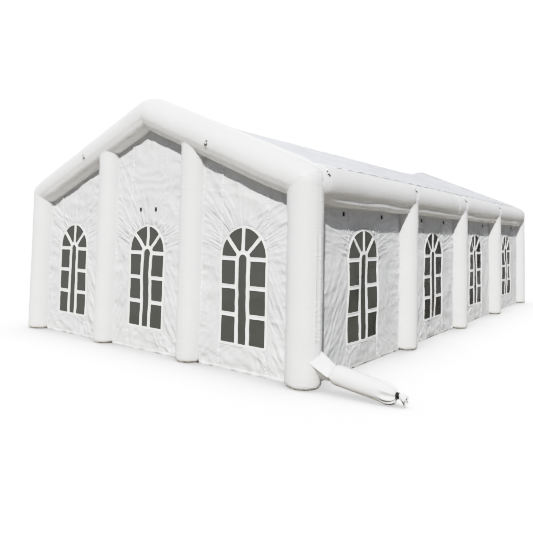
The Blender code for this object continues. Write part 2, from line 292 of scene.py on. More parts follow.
def crease_pattern(tree, attribute, size, height, sort, where):
    """A node that gives the height in metres of one sort of crease, "soft" or "sharp".

    size is the pattern's size in metres (or radians) along the attribute's three directions. where is
    "all", or "weld" for creases that cross the weld of a tube, whose laid angle is 0, or "foot" for those
    in a post's lowest cloth, or "pull" where the third number says how strongly the cloth is pulled.
    """
    flat = laid_coordinates(tree, attribute, size)
    detail = 0.0 if where == "pull" and attribute != "laid" else 2.0
    noise = add_node(tree, "TexNoise", {"Scale": 1.0, "Detail": detail, "Roughness": 0.5},
                     {"Vector": (flat, 0)})
    if sort == "sharp":
        centred = add_node(tree, "Math", {1: 2.0, 2: -1.0}, {0: (noise, 0)}, operation="MULTIPLY_ADD")
        noise = add_node(tree, "Math", links={0: (centred, 0)}, operation="ABSOLUTE")
        height = -height
    if where == "all":
        return add_node(tree, "Math", {1: height}, {0: (noise, 0)}, operation="MULTIPLY")
    whole = add_node(tree, "Attribute", attribute_name=attribute)
    parts = add_node(tree, "SeparateXYZ", links={0: (whole, "Vector")})
    if where == "pull":
        strength = add_node(tree, "Math", {1: height}, {0: (parts, "Z")}, operation="MULTIPLY")
    elif where == "foot":
        fading = {"From Min": 0.03, "From Max": 0.15, "To Min": height, "To Max": 0.0}
        strength = add_node(tree, "MapRange", fading, {"Value": (parts, "Z")},
                            interpolation_type="SMOOTHSTEP")
    else:
        turn = add_node(tree, "Math", links={0: (parts, "Y"), 1: (parts, "X")}, operation="ARCTAN2")
        off = add_node(tree, "Math", links={0: (turn, 0)}, operation="ABSOLUTE")
        strength = add_node(tree, "MapRange", {"From Max": 1.1, "To Min": height, "To Max": 0.0},
                            {"Value": (off, 0)}, interpolation_type="SMOOTHSTEP")
    return add_node(tree, "Math", links={0: (noise, 0), 1: (strength, 0)}, operation="MULTIPLY")


def coated_cloth(name, colour, shade, roughness, through, creases, soil=0.0):
    material, tree, shader = new_material(name)
    output = tree.nodes["Material Output"]
    spot = add_node(tree, "TexCoord")
    patch = add_node(tree, "TexNoise", {"Scale": 1.3, "Detail": 4.0}, {"Vector": (spot, "Object")})
    tone = add_node(tree, "MapRange", {"From Min": 0.35, "From Max": 0.65}, {"Value": (patch, 0)})
    cloth = add_node(tree, "Mix", {6: linear(colour), 7: linear(shade)}, {0: (tone, 0)}, data_type="RGBA")
    dirt_height = 0.06
    parts = add_node(tree, "SeparateXYZ", links={0: (spot, "Object")})
    near_ground = add_node(tree, "MapRange", {"From Min": dirt_height, "From Max": 0.0, "To Max": soil},
                           {"Value": (parts, "Z")})
    speck = add_node(tree, "TexNoise", {"Scale": 24.0, "Detail": 6.0}, {"Vector": (spot, "Object")})
    patchy = add_node(tree, "MapRange", {"From Min": 0.42, "From Max": 0.62}, {"Value": (speck, 0)})
    soiled = add_node(tree, "Math", links={0: (near_ground, 0), 1: (patchy, 0)}, operation="MULTIPLY")
    worn = add_node(tree, "Mix", {7: linear("#9a8d78")}, {0: (soiled, 0), 6: (cloth, 2)}, data_type="RGBA")
    total = crease_pattern(tree, *creases[0])
    for crease in creases[1:]:
        part = crease_pattern(tree, *crease)
        total = add_node(tree, "Math", links={0: (total, 0), 1: (part, 0)}, operation="ADD")
    bump = add_node(tree, "Bump", {"Strength": 1.0, "Distance": 1.0}, {"Height": (total, 0)})
    tree.links.new(worn.outputs[2], shader.inputs["Base Color"])
    tree.links.new(bump.outputs[0], shader.inputs["Normal"])
    shader.inputs["Roughness"].default_value = roughness
    shader.inputs["IOR"].default_value = 1.5
    shader.inputs["Specular IOR Level"].default_value = 0.35
    glow = add_node(tree, "BsdfTranslucent", links={"Color": (worn, 2), "Normal": (bump, 0)})
    mix = add_node(tree, "MixShader", {0: through}, {1: (shader, 0), 2: (glow, 0)})
    tree.links.new(mix.outputs[0], output.inputs["Surface"])
    return material


# The blown tubes are tight: soft swellings, fine creases, and short ones that cross the lengthwise weld.
TUBE_CLOTH = coated_cloth("blown PVC tarpaulin", "#efeff0", "#ebebec", 0.42, 0.16, (
    ("laid", (0.40, 0.40, 0.35), 0.0040, "soft", "all"),
    ("laid", (0.16, 0.16, 0.06), 0.0024, "sharp", "all"),
    ("laid", (0.24, 0.24, 0.070), 0.0060, "sharp", "weld"),
    ("laid", (0.055, 0.055, 0.040), 0.0140, "sharp", "foot"),
), soil=0.8)
# The roof's cloth is greyer and cooler, and the pull from the ridge creases it down the slope.
ROOF_CLOTH = coated_cloth("roof tarpaulin", "#d6d7dc", "#d0d1d8", 0.46, 0.20, (
    ("laid", (1.60, 0.30, 0.30), 0.0600, "sharp", "all"),
    ("laid", (1.20, 0.13, 0.13), 0.0280, "sharp", "all"),
))
# The walls are lighter cloth, creased from being packed, and drawn into fans of fine folds by the pull.
WALL_CLOTH = coated_cloth("wall polyester", "#ecedee", "#e6e7e9", 0.50, 0.22, (
    ("laid", (0.36, 0.36, 0.0), 0.0200, "sharp", "pull"),
    ("laid", (0.11, 0.11, 0.0), 0.0045, "sharp", "pull"),
    ("fan", (0.060, 0.80, 0.0), 0.0240, "soft", "pull"),
    ("fan", (0.075, 0.80, 0.3), 0.0140, "sharp", "pull"),
    ("haul", (0.060, 0.80, 0.0), 0.0240, "soft", "pull"),
    ("haul", (0.080, 0.80, 0.3), 0.0140, "sharp", "pull"),
    ("tug", (0.60, 0.15, 0.0), 0.0260, "sharp", "pull"),
), soil=0.35)
# Tape is cut from fresh tarpaulin and lies flat, so it is the whitest and smoothest cloth.
WELD_CLOTH = coated_cloth("welded PVC tape", "#f5f5f6", "#f0f0f1", 0.38, 0.10, (
    ("laid", (0.025, 0.025, 0.025), 0.0010, "sharp", "all"),
))
print("cloths:", TUBE_CLOTH.name, ROOF_CLOTH.name, WALL_CLOTH.name, WELD_CLOTH.name)


# %% [markdown]
# ## Window film, webbing and steel
# The lights of a window are clear vinyl film. It looks dark because the marquee is dim inside, so that
# dim inside is painted into it as shade: a dark smooth plastic that lets a little of the light through.
# At a slant Layer Weight paints it darker still, nearly black, a painted reflection of the dark
# surroundings and painted shade seen through it. Ties are black polyester webbing, and the anchor
# rings are bent steel wire.

# %% Make the film, the webbing and the steel
def window_film():
    material, tree, shader = new_material("vinyl window film with painted shade")
    spot = add_node(tree, "TexCoord")
    ripple = add_node(tree, "TexNoise", {"Scale": 9.0, "Detail": 3.0}, {"Vector": (spot, "Object")})
    bump = add_node(tree, "Bump", {"Strength": 1.0, "Distance": 0.011}, {"Height": (ripple, 0)})
    smear = add_node(tree, "MapRange", {"From Min": 0.3, "From Max": 0.7, "To Min": 0.10, "To Max": 0.24},
                     {"Value": (ripple, 0)})
    tree.links.new(bump.outputs[0], shader.inputs["Normal"])
    tree.links.new(smear.outputs[0], shader.inputs["Roughness"])
    # The grey base is painted shade of the dim inside; at a slant it is painted nearly black, as painted
    # reflection and shade.
    slant = add_node(tree, "LayerWeight", {"Blend": 0.5})
    slant_painted_shade = add_node(tree, "MapRange", {"From Min": 0.50, "From Max": 0.72}, {"Value": (slant, "Facing")},
                     interpolation_type="SMOOTHSTEP")
    painted_shade_tint = add_node(tree, "Mix", {6: linear("#5b5c56"), 7: linear("#030303")}, {0: (slant_painted_shade, 0)},
                    data_type="RGBA")
    tree.links.new(painted_shade_tint.outputs[2], shader.inputs["Base Color"])
    shader.inputs["IOR"].default_value = 1.45
    shader.inputs["Specular IOR Level"].default_value = 0.16
    shader.inputs["Alpha"].default_value = 0.90
    return material


def webbing():
    material, tree, shader = new_material("black polyester webbing")
    # Webbing is woven in cells of about a millimetre, drawn at four so that they show.
    laid = laid_coordinates(tree, "laid", (0.004, 0.004, 0.004))
    weave = add_node(tree, "TexChecker", {"Scale": 1.0}, {"Vector": (laid, 0)})
    bump = add_node(tree, "Bump", {"Strength": 0.6, "Distance": 0.0006}, {"Height": (weave, 1)})
    tree.links.new(bump.outputs[0], shader.inputs["Normal"])
    shader.inputs["Base Color"].default_value = linear("#141416")
    shader.inputs["Roughness"].default_value = 0.75
    return material


def bent_steel():
    material, tree, shader = new_material("blackened steel wire")
    spot = add_node(tree, "TexCoord")
    # The wire is drawn steel, and a fine grain breaks up its gloss.
    grain = add_node(tree, "TexNoise", {"Scale": 300.0, "Detail": 2.0}, {"Vector": (spot, "Object")})
    rough = add_node(tree, "MapRange", {"To Min": 0.25, "To Max": 0.45}, {"Value": (grain, 0)})
    tree.links.new(rough.outputs[0], shader.inputs["Roughness"])
    shader.inputs["Base Color"].default_value = linear("#4b4c4f")
    shader.inputs["Metallic"].default_value = 1.0
    return material


FILM = window_film()
WEBBING = webbing()
STEEL = bent_steel()
print("others:", FILM.name, WEBBING.name, STEEL.name)


# %% [markdown]
# ## Making a piece
# Every piece goes the same way: a bmesh becomes a named object at the origin, shaded smooth, riding
# on the marquee's one body, and standing for the plain solid where there is one.

# %% A helper that finishes a piece
def finish_piece(name, bm, material, stands_for=(), sharp_deg=50):
    mesh = bpy.data.meshes.new(name)
    bm.to_mesh(mesh)
    bm.free()
    mesh.materials.append(material)
    mesh.shade_smooth()
    mesh.set_sharp_from_angle(angle=math.radians(sharp_deg))
    piece = bpy.data.objects.new(name, mesh)
    bpy.context.scene.collection.objects.link(piece)
    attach(piece, "root")
    if stands_for:
        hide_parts(*stands_for)
    return piece


# %% [markdown]
# ## Uneven cloth
# Blown cloth is never quite even. A random texture per point would be rough, so a few dozen long
# waves in random directions are added up instead, which gives a smooth wandering surface. The seed
# is fixed, so that each piece comes out the same every time.

# %% Helpers for smooth unevenness
def wander(points, wavelength, seed, waves=18):
    """A smooth random height between about -1 and 1 at each point (an array of 2 or 3 columns)."""
    rng = np.random.default_rng(seed)
    points = np.asarray(points, float)
    total = np.zeros(len(points))
    for _ in range(waves):
        direction = rng.normal(size=points.shape[1])
        direction /= np.linalg.norm(direction)
        stretch = rng.uniform(0.6, 1.7)
        phase = rng.uniform(0, 2 * math.pi)
        total += np.sin(points @ direction * (2 * math.pi * stretch / wavelength) + phase)
    return total / math.sqrt(waves) / 1.2


def smooth_step(x):
    x = np.clip(x, 0, 1)
    return x * x * (3 - 2 * x)


def bell(x, width):
    """1 where x is 0, and less to both sides of it over the width."""
    return np.exp(-(x / width) ** 2)


def crest(x):
    """Narrow rounded crests at whole numbers and wide hollows between them, 0 to 1."""
    return 1 - np.sqrt(np.sin(np.pi * x) ** 2 + 0.02)


# %% [markdown]
# ## Blown tubes
# A tube starts as a capped cylinder that is cut into rings. Each of its points has an angle round
# the tube and a share of its length, and a shape function sends the pair to where that bit of cloth
# lies on the blown tube. Bending a curve with a bevel would be quicker, but it can't make a mitre,
# a saddle or a gathered foot.

# %% A helper that blows up a cylinder
def blow_tube(around, along, shape):
    """shape(angle, share) gives each point's place and its place on the cloth laid straight."""
    bm = bmesh.new()
    bmesh.ops.create_cone(bm, cap_ends=True, segments=around, radius1=1, radius2=1, depth=1)
    lengthwise = [e for e in bm.edges if abs(e.verts[0].co.z - e.verts[1].co.z) > 0.5]
    bmesh.ops.subdivide_edges(bm, edges=lengthwise, cuts=along - 1, use_grid_fill=True)
    laid_layer = bm.verts.layers.float_vector.new("laid")
    cylinder = np.array([v.co for v in bm.verts])
    angle = np.arctan2(cylinder[:, 1], cylinder[:, 0])
    places, laid = shape(angle, cylinder[:, 2] + 0.5)
    for vert, place, flat in zip(bm.verts, places, laid):
        vert.co = place
        vert[laid_layer] = flat
    bmesh.ops.recalc_face_normals(bm, faces=bm.faces)
    return bm


def laid_round(radius, angle, along):
    """A tube's cloth laid straight: round the tube from its weld, at angle 0, and along it."""
    return np.stack([radius * np.cos(angle), radius * np.sin(angle), along], 1)

def finish_tube(node, bm):
    return finish_piece(node + "_tube", bm, TUBE_CLOTH, [node])

def settle(bm, spots, flat, **marks):
    """Move each point of a mesh to its place and note where it lies on the flat cloth, and more."""
    for name, values in {"laid": [(*spot, 0) for spot in flat], **marks}.items():
        layer = bm.verts.layers.float_vector.new(name)
        for vert, value in zip(bm.verts, values):
            vert[layer] = value
    for vert, place in zip(bm.verts, spots):
        vert.co = place
    return bm


def near_mitre(distance, out, fillet, half_turn):
    """Where cloth lies near a mitre, in the plane of the bend.

    distance is measured along the cloth from the mitre, out is the tube's offset to the bend's
    outer side. Gives the place along the axis, away from the joint, and the rounded offset.
    """
    bend_length = fillet * half_turn
    start = -out * math.tan(half_turn) + fillet * math.tan(half_turn)
    bend = np.clip(half_turn - distance / np.maximum(fillet, 1e-6), 0, half_turn)
    along = start - fillet * np.sin(bend) + np.maximum(distance - bend_length, 0)
    return along, out - fillet * (1 - np.cos(bend))


def mitre_fillet(angle, largest):
    """Air rounds a mitre off on its outer side and leaves a crease on its inner side."""
    return 0.012 + (largest - 0.012) * ((1 + np.cos(angle)) / 2) ** 1.3


def seam_puckers(angle, distance, folds, depth, reach, seed):
    """Little gathers that run away from a seam round the tube, and the pinch at the seam itself."""
    rng = np.random.default_rng(seed)
    turn = angle / (2 * math.pi) * folds
    turn = turn + 0.35 * np.sin(3 * angle + rng.uniform(0, 6)) + 0.2 * np.sin(7 * angle + rng.uniform(0, 6))
    strength = 0.6 + 0.4 * np.sin(2 * angle + rng.uniform(0, 6))
    gathers = (crest(turn) - 0.35) * strength * np.exp(-distance / reach)
    pinch = 0.05 + 0.20 * (1 - np.cos(angle))
    return depth * gathers - depth * pinch * bell(distance, 0.014)


print("the points of a beam lie", round(2 * math.pi * BEAM_R / 64 * 1000), "mm apart round it")


# %% [markdown]
# ## Corner posts
# A corner post stands on a round foot, whose cloth is gathered into the seam of its base, and meets
# the gable beam in a mitre. The cloth runs from the middle of the base out to the rim, round the
# foot's edge and up the wall, so the same cylinder rings serve for all three.

# %% Blow up the posts
FOOT_ROUND = 0.060
FOOT_FOLDS = 17
# Shares of a post's rings at which its base ends and its straight wall begins.
BASE_ENDS, WALL_BEGINS = 0.05, 0.15
# Each tube runs this far past its mitre, into the other, so that no gap shows at the seam.
TUCK = 0.004

def wall_height(share, top):
    """Height up a post's straight wall, at a share of its rings."""
    up = np.clip((share - WALL_BEGINS) / (1 - WALL_BEGINS), 0, 1)
    return FOOT_ROUND + up * (top - FOOT_ROUND)

def foot_profile(share, radius, height):
    """Radius and height along a post's cloth, from the middle of its base to a straight wall's top."""
    on_base = 0.004 + (radius - FOOT_ROUND - 0.004) * share / BASE_ENDS
    bend = np.clip((share - BASE_ENDS) / (WALL_BEGINS - BASE_ENDS), 0, 1) * math.pi / 2
    on_edge = (share >= BASE_ENDS) & (share < WALL_BEGINS)
    r = np.where(share < BASE_ENDS, on_base, radius)
    r = np.where(on_edge, radius - FOOT_ROUND + FOOT_ROUND * np.sin(bend), r)
    z = np.where(on_edge, FOOT_ROUND * (1 - np.cos(bend)), 0.0)
    return r, np.where(share >= WALL_BEGINS, wall_height(share, height), z)

def foot_gathers(angle, z, seed):
    """The base's seam gathers the wall's cloth into short upright folds."""
    rng = np.random.default_rng(seed)
    turn = angle / (2 * math.pi) * FOOT_FOLDS
    turn = turn + 0.5 * np.sin(2 * angle + rng.uniform(0, 6)) + 0.3 * np.sin(5 * angle)
    return 0.0130 * (crest(turn) - 0.45) * bell(z - 0.018, 0.045) - 0.006 * bell(z - 0.014, 0.006)


def pinch_line(angle, where, width, depth):
    """A welded seam along a tube holds it in by a few millimetres."""
    away = np.angle(np.exp(1j * (angle - where)))
    return -depth * bell(away, width)


def corner_post(side, end, seed):
    weld_at = SEAM_TURN[side, end]
    half_turn = (math.pi / 2 - BEAM_PITCH) / 2
    joint_radius = (CORNER_R + BEAM_R) / 2

    def shape(angle, share):
        share = 0.94 * share + 0.06 * np.sin(share * math.pi / 2) ** 2
        r, z = foot_profile(share, CORNER_R, EAVE_Z)
        about = angle - math.atan2(0, side)
        fillet = mitre_fillet(about, 0.20)
        r = r + (joint_radius - CORNER_R) * smooth_step(1 - (EAVE_Z - z) / 0.30) * (share > 0.2)
        reach = r * np.cos(about) * math.tan(half_turn) - fillet * (math.tan(half_turn) - half_turn)
        on_wall = share >= WALL_BEGINS
        cloth_z = np.where(on_wall, wall_height(share, EAVE_Z + reach), z)
        distance = np.where(on_wall, EAVE_Z + reach - cloth_z, 9.0)
        laid = laid_round(CORNER_R, angle - weld_at, cloth_z)
        swell = 0.0022 * wander(laid, 0.55, seed) * (share > WALL_BEGINS)
        swell = swell + foot_gathers(angle, cloth_z, seed) * (share > 0.04)
        swell = swell + pinch_line(angle, weld_at, 0.05, 0.004) * (share > 0.16)
        swell = swell + seam_puckers(about, distance, 22, 0.0080, 0.035, seed) * (share > 0.3)
        along, out = near_mitre(distance, (r + swell) * np.cos(about), fillet, half_turn)
        tucked = TUCK * np.exp(-np.abs(distance) / 0.02)
        height = np.where(on_wall, EAVE_Z - along + tucked, z)
        x = MID_X + side * (HALF_X + out)
        y = end * HALF_Y + side * (r + swell) * np.sin(about)
        return np.stack([x, y, np.maximum(height, 0)], 1), laid

    return blow_tube(60, 80, shape)

# The lengthwise weld of a corner post faces the long side of the marquee, a little turned to the gable.
SEAM_TURN = {(side, end): (0.0 if side > 0 else math.pi) + side * end * math.radians(12)
             for _, side, end in CORNERS}

for corner, side, end in CORNERS:
    finish_tube(corner + "_corner_post", corner_post(side, end, 20 + 3 * side + 11 * end))
print("corner posts:", len(CORNERS))

# %% [markdown]
# ## Gable beams
# A beam is mitred at both ends, to its post and to the other beam. The wall hangs from a band that
# is welded along its underside, which pinches the tube in two lines.

# %% Blow up the gable beams
def gable_beam(side, end, seed):
    corner = np.array([side * HALF_X, EAVE_Z])
    uphill = np.array([-side * math.cos(BEAM_PITCH), math.sin(BEAM_PITCH)])
    outer = np.array([side * math.sin(BEAM_PITCH), math.cos(BEAM_PITCH)])
    length = HALF_X / math.cos(BEAM_PITCH)
    low_turn = (math.pi / 2 - BEAM_PITCH) / 2
    high_turn = BEAM_PITCH
    joint_radius = (CORNER_R + BEAM_R) / 2

    def shape(angle, share):
        share = 0.5 * share + 0.25 * (1 - np.cos(math.pi * share))
        low_fillet = mitre_fillet(angle, 0.20)
        high_fillet = mitre_fillet(angle, 0.34)
        r = BEAM_R + (joint_radius - BEAM_R) * smooth_step(1 - share * length / 0.35)
        out = r * np.cos(angle)
        low_reach = out * math.tan(low_turn) - low_fillet * (math.tan(low_turn) - low_turn)
        high_reach = out * math.tan(high_turn) - high_fillet * (math.tan(high_turn) - high_turn)
        cloth = (length + low_reach + high_reach) * share
        to_low = cloth
        to_high = length + low_reach + high_reach - cloth
        front = -end * side * math.radians(118)
        laid = laid_round(BEAM_R, angle - front, 10 + cloth - low_reach)
        swell = 0.0028 * wander(laid, 0.6, seed)
        seam = front * (1 + 0.012 * wander(laid[:, 2:], 0.5, seed + 5))
        swell = swell + pinch_line(angle, seam, 0.09, 0.006) + pinch_line(angle, math.pi, 0.10, 0.006)
        swell = swell + pinch_line(angle, front * 0.28, 0.045, 0.009)
        swell = swell + seam_puckers(angle, to_low, 24, 0.0080, 0.035, seed)
        swell = swell + seam_puckers(angle, to_high, 34, 0.0035, 0.05, seed + 1)
        out = (r + swell) * np.cos(angle)
        from_low, out_low = near_mitre(to_low, out, low_fillet, low_turn)
        from_high, out_high = near_mitre(to_high, out, high_fillet, high_turn)
        from_low = from_low - TUCK * np.exp(-to_low / 0.02)
        from_high = from_high - 0.75 * TUCK * np.exp(-to_high / 0.02)
        nearer_low = share < 0.5
        along = np.where(nearer_low, from_low, length - from_high)
        out = np.where(nearer_low, out_low, out_high)
        spot = corner + along[:, None] * uphill + out[:, None] * outer
        y = end * HALF_Y - side * (r + swell) * np.sin(angle)
        return np.stack([MID_X + spot[:, 0], y, spot[:, 1]], 1), laid

    return blow_tube(64, 90, shape)


for corner, side, end in CORNERS:
    finish_tube(corner + "_gable_beam", gable_beam(side, end, 40 + 3 * side + 7 * end))
print("gable beams:", len(CORNERS))


# %% [markdown]
# ## Gable and side posts
# These posts end in a saddle, welded to the tube above with a small flange. On the gables the tube
# above is the sloping beam, centred over the post. On the sides it is the eave tube, and the post
# stands so far out that its outer face runs up to the eave tube's widest line in a pointed tongue.

# %% Blow up the posts with saddles
FLANGE = 0.006


def saddle_post(centre_x, centre_y, top, weld_at, seed):
    """top(x, y) gives the height where a line up the post meets the tube above it."""

    def shape(angle, share):
        share = 0.90 * share + 0.10 * np.sin(share * math.pi / 2) ** 2
        r, z = foot_profile(share, POST_R, EAVE_Z)
        end_z = top(POST_R * np.cos(angle), POST_R * np.sin(angle))
        on_wall = share >= WALL_BEGINS
        z = np.where(on_wall, wall_height(share, end_z), z)
        to_top = np.where(on_wall, end_z - z, 9.0)
        laid = laid_round(POST_R, angle - weld_at, z)
        swell = 0.0022 * wander(laid, 0.5, seed) * (share > WALL_BEGINS)
        swell = swell + foot_gathers(angle, z, seed) * (share > 0.04)
        swell = swell + pinch_line(angle, weld_at, 0.05, 0.004) * (share > 0.16)
        swell = swell + FLANGE * smooth_step(1 - to_top / 0.010) - 0.004 * bell(to_top - 0.025, 0.018)
        r = r + swell
        return np.stack([centre_x + r * np.cos(angle), centre_y + r * np.sin(angle), z], 1), laid

    return blow_tube(56, 64, shape)


def under_beam(post_x):
    def top(dx, dy):
        return beam_axis_z(post_x + dx) - np.sqrt(BEAM_R ** 2 - dy ** 2) / math.cos(BEAM_PITCH)
    return top


def under_eave(side):
    def top(dx, dy):
        off = np.clip(side * dx + SIDE_POST_X - HALF_X, -EAVE_R, EAVE_R)
        return EAVE_Z - np.sqrt(EAVE_R ** 2 - off ** 2)
    return top


for end_name, end in ENDS:
    for number, side in enumerate((-1, 1), start=1):
        node = f"{end_name}_gable_post_{number}"
        x = side * GABLE_POST_X
        weld_at = end * math.pi / 2
        finish_tube(node, saddle_post(MID_X + x, end * HALF_Y, under_beam(x), weld_at, 60 + number + 5 * end))
for side_name, side in SIDES:
    for number, y in enumerate(SIDE_POST_YS, start=1):
        node = f"{side_name}_side_post_{number}"
        x = MID_X + side * SIDE_POST_X
        weld_at = -math.pi / 2 + side * 0.5
        finish_tube(node, saddle_post(x, y, under_eave(side), weld_at, 80 + number + 5 * side))
print("posts with saddles:", 10)


# %% [markdown]
# ## Eave tubes, ridge tube and rafters
# The eave tube is the fattest. Where each post meets it, a band round the tube pinches it, and
# between the bands it swells. Its wall band leaves a seam on its underside, with a soft roll below
# it. The ridge tube and the rafters lie hidden under the roof sheet and are plain.

# %% Blow up the long tubes
def denser_near(places, reach, low, high, times=5):
    """A table that turns even shares into lengths, with more rings near some places."""
    lengths = np.linspace(low, high, 4001)
    near = bell(np.abs(lengths[:, None] - np.asarray(places)[None, :]).min(1), reach)
    shares = np.cumsum(1 + times * near)
    return (shares - shares[0]) / (shares[-1] - shares[0]), lengths


def eave_radius(y):
    """A rounded shoulder draws the tube's end in to the corner joint's size."""
    inset = np.clip((HALF_Y - 0.02 - np.abs(y)) / 0.22, 0, 1)
    return EAVE_R - (EAVE_R - (CORNER_R + BEAM_R) / 2 + 0.003) * (1 - inset) ** 2


def eave_tube(side, seed):
    rings = np.array([-HALF_Y + 0.13, *SIDE_POST_YS, HALF_Y - 0.13])
    joints = np.array([*rings, SIDE_POST_YS[1] - 0.45])
    table = denser_near(joints, 0.06, -HALF_Y + 0.02, HALF_Y - 0.02)

    def shape(angle, share):
        y = np.interp(share, *table)
        to_ring = np.abs(y[:, None] - rings[None, :]).min(1)
        to_joint = np.abs(y[:, None] - joints[None, :]).min(1)
        from_weld = angle - math.radians(-36)
        laid = laid_round(EAVE_R, from_weld, y + 20)
        swell = 0.0035 * wander(laid, 0.8, seed) + 0.005 * np.sqrt(np.clip(to_ring, 0, 1)) - 0.004
        banded = -0.012 * bell(to_ring, 0.045) - 0.005 * bell(to_joint, 0.030) + 0.012 * bell(to_joint, 0.011)
        banded = banded + seam_puckers(angle, to_joint, 30, 0.0050, 0.07, seed + 3)
        swell = swell + banded * (np.abs(y) <= HALF_Y - 0.5)
        seam = math.radians(-37) + 0.02 * np.sin(y * 3 + seed) + 0.02 * wander(laid[:, 2:], 1.2, seed + 9)
        roll = pinch_line(angle, seam, 0.08, 0.016) + pinch_line(angle, seam - 0.32, 0.26, -0.044)
        swell = swell + roll * smooth_step((HALF_Y - 0.10 - np.abs(y)) / 0.40)
        ripple = wander(np.stack([y * 0.3, angle], 1), 0.20, seed + 12)
        swell = swell + pinch_line(angle, seam - 0.25, 0.20, -0.004) * ripple
        r = eave_radius(y) + swell * smooth_step((HALF_Y - 0.02 - np.abs(y)) / 0.2 + 0.2)
        x = MID_X + side * (HALF_X + r * np.cos(angle))
        return np.stack([x, y, EAVE_Z + r * np.sin(angle)], 1), laid

    return blow_tube(72, 270, shape)


def plain_tube(start, end, radius, seed, rings=16):
    start = Vector(start)
    direction = Vector(end) - start
    turn = np.array(direction.to_track_quat("Z", "Y").to_matrix())

    def shape(angle, share):
        laid = laid_round(radius, angle, share * direction.length)
        swell = 1 + 0.01 * wander(laid, 0.5, seed)
        spot = np.stack([laid[:, 0] * swell, laid[:, 1] * swell, laid[:, 2]], 1)
        return np.array(start) + spot @ turn.T, laid

    return blow_tube(28, rings, shape)


for side_name, side in SIDES:
    node = f"{side_name}_eave_tube"
    finish_piece(node + "_cloth", eave_tube(side, 100 + side), TUBE_CLOTH, [node])
    for number, y in enumerate(SIDE_POST_YS, start=1):
        node = f"{side_name}_rafter_{number}"
        drop = RAFTER_R / math.cos(SHEET_PITCH) + 0.012
        ends = []
        for x in (HALF_X - 0.18, 0.14):
            under_sheet = SHEET_TOP_Z - 0.032 - x * math.tan(SHEET_PITCH)
            ends.append((MID_X + side * x, y, under_sheet - drop))
        finish_tube(node, plain_tube(*ends, RAFTER_R - 0.004, 110 + number))
ridge_ends = [(MID_X, end * half("ridge_tube", 1), RIDGE_Z - 0.012) for _, end in ENDS]
ridge = plain_tube(*ridge_ends, RIDGE_R - 0.004, 120, 60)
finish_piece("ridge_tube_cloth", ridge, TUBE_CLOTH, ["ridge_tube"])
print("long tubes:", 2 + 1 + 6)


# %% [markdown]
# ## Roof sheets
# One sheet covers each slope. It leaves the ridge with a soft bend, runs straight to the eave tube and
# ends in a loose hem on its shoulder. At the gables it climbs onto the beams. The pull from the ridge
# leaves long shallow folds down the slope. The sheet is a grid that is bent to this line, and its hem
# a narrower grid that is bent the same way.

# %% Stretch the roof sheets
RIDGE_PEAK = SHEET_TOP_Z + 0.028
SHEET_GAP = 0.005
SHOULDER_R = EAVE_R + SHEET_GAP
APEX_FILLET = 0.34
WELD_Y = HALF_Y - 0.048


def slope_section():
    """Slope of the sheet and length down to where it touches the eave tube's shoulder."""
    rise = RIDGE_PEAK - EAVE_Z
    span = math.hypot(HALF_X, rise)
    slope = math.atan2(rise, HALF_X) - math.asin(SHOULDER_R / span)
    return slope, math.sqrt(span ** 2 - SHOULDER_R ** 2)


SLOPE, TO_SHOULDER = slope_section()
HEM_TURN = math.radians(11)
SHEET_LENGTH = TO_SHOULDER + SHOULDER_R * HEM_TURN


def sheet_line(down):
    """Place and outward direction in the cross-section, at a length down the sheet from the ridge."""
    turned = np.clip((down - TO_SHOULDER) / SHOULDER_R, 0, None)
    lean = SLOPE + turned
    on_slope = np.minimum(down, TO_SHOULDER)
    x = np.where(turned > 0, HALF_X + SHOULDER_R * np.sin(lean), on_slope * math.cos(SLOPE))
    bent = np.hypot(on_slope * math.cos(SLOPE), 0.06) * math.tan(SLOPE)
    z = np.where(turned > 0, EAVE_Z + SHOULDER_R * np.cos(lean), RIDGE_PEAK - bent)
    return x, z, np.sin(lean), np.cos(lean)


def beam_top_z(x):
    """Height of the gable beams' top line, rounded at the apex."""
    peak = EAVE_Z + APEX_RISE + BEAM_R / math.cos(BEAM_PITCH)
    centre = peak - APEX_FILLET / math.cos(BEAM_PITCH)
    rounded = centre + np.sqrt(np.maximum(APEX_FILLET ** 2 - x ** 2, 0))
    return np.where(x < APEX_FILLET * math.sin(BEAM_PITCH), rounded, peak - x * math.tan(BEAM_PITCH))


def ridged(w):
    """Sharp crests where a wandering height crosses zero, as in creased cloth."""
    return 1 - 2 * np.minimum(np.abs(w), 1)


def roof_folds(y, down, seed):
    long_folds = ridged(wander(np.stack([y, down / 14], 1), 0.50, seed)) * 0.014
    fine_folds = ridged(wander(np.stack([y, down / 14], 1), 0.24, seed + 1)) * 0.0085
    creases = ridged(wander(np.stack([y, down / 1.5], 1), 0.50, seed + 2)) * 0.003
    folds = long_folds + fine_folds + creases
    for end in (-1, 1):
        to_apex = np.hypot(end * HALF_Y - y, down)
        turn = np.arctan2(down, np.abs(end * HALF_Y - y) + 1e-6)
        fan = crest(turn * 6 + 0.3 * np.sin(to_apex * 3 + end)) - 0.35
        folds = folds + 0.022 * fan * (1 - np.exp(-to_apex / 0.25)) * np.exp(-to_apex / 2.0)
    return folds


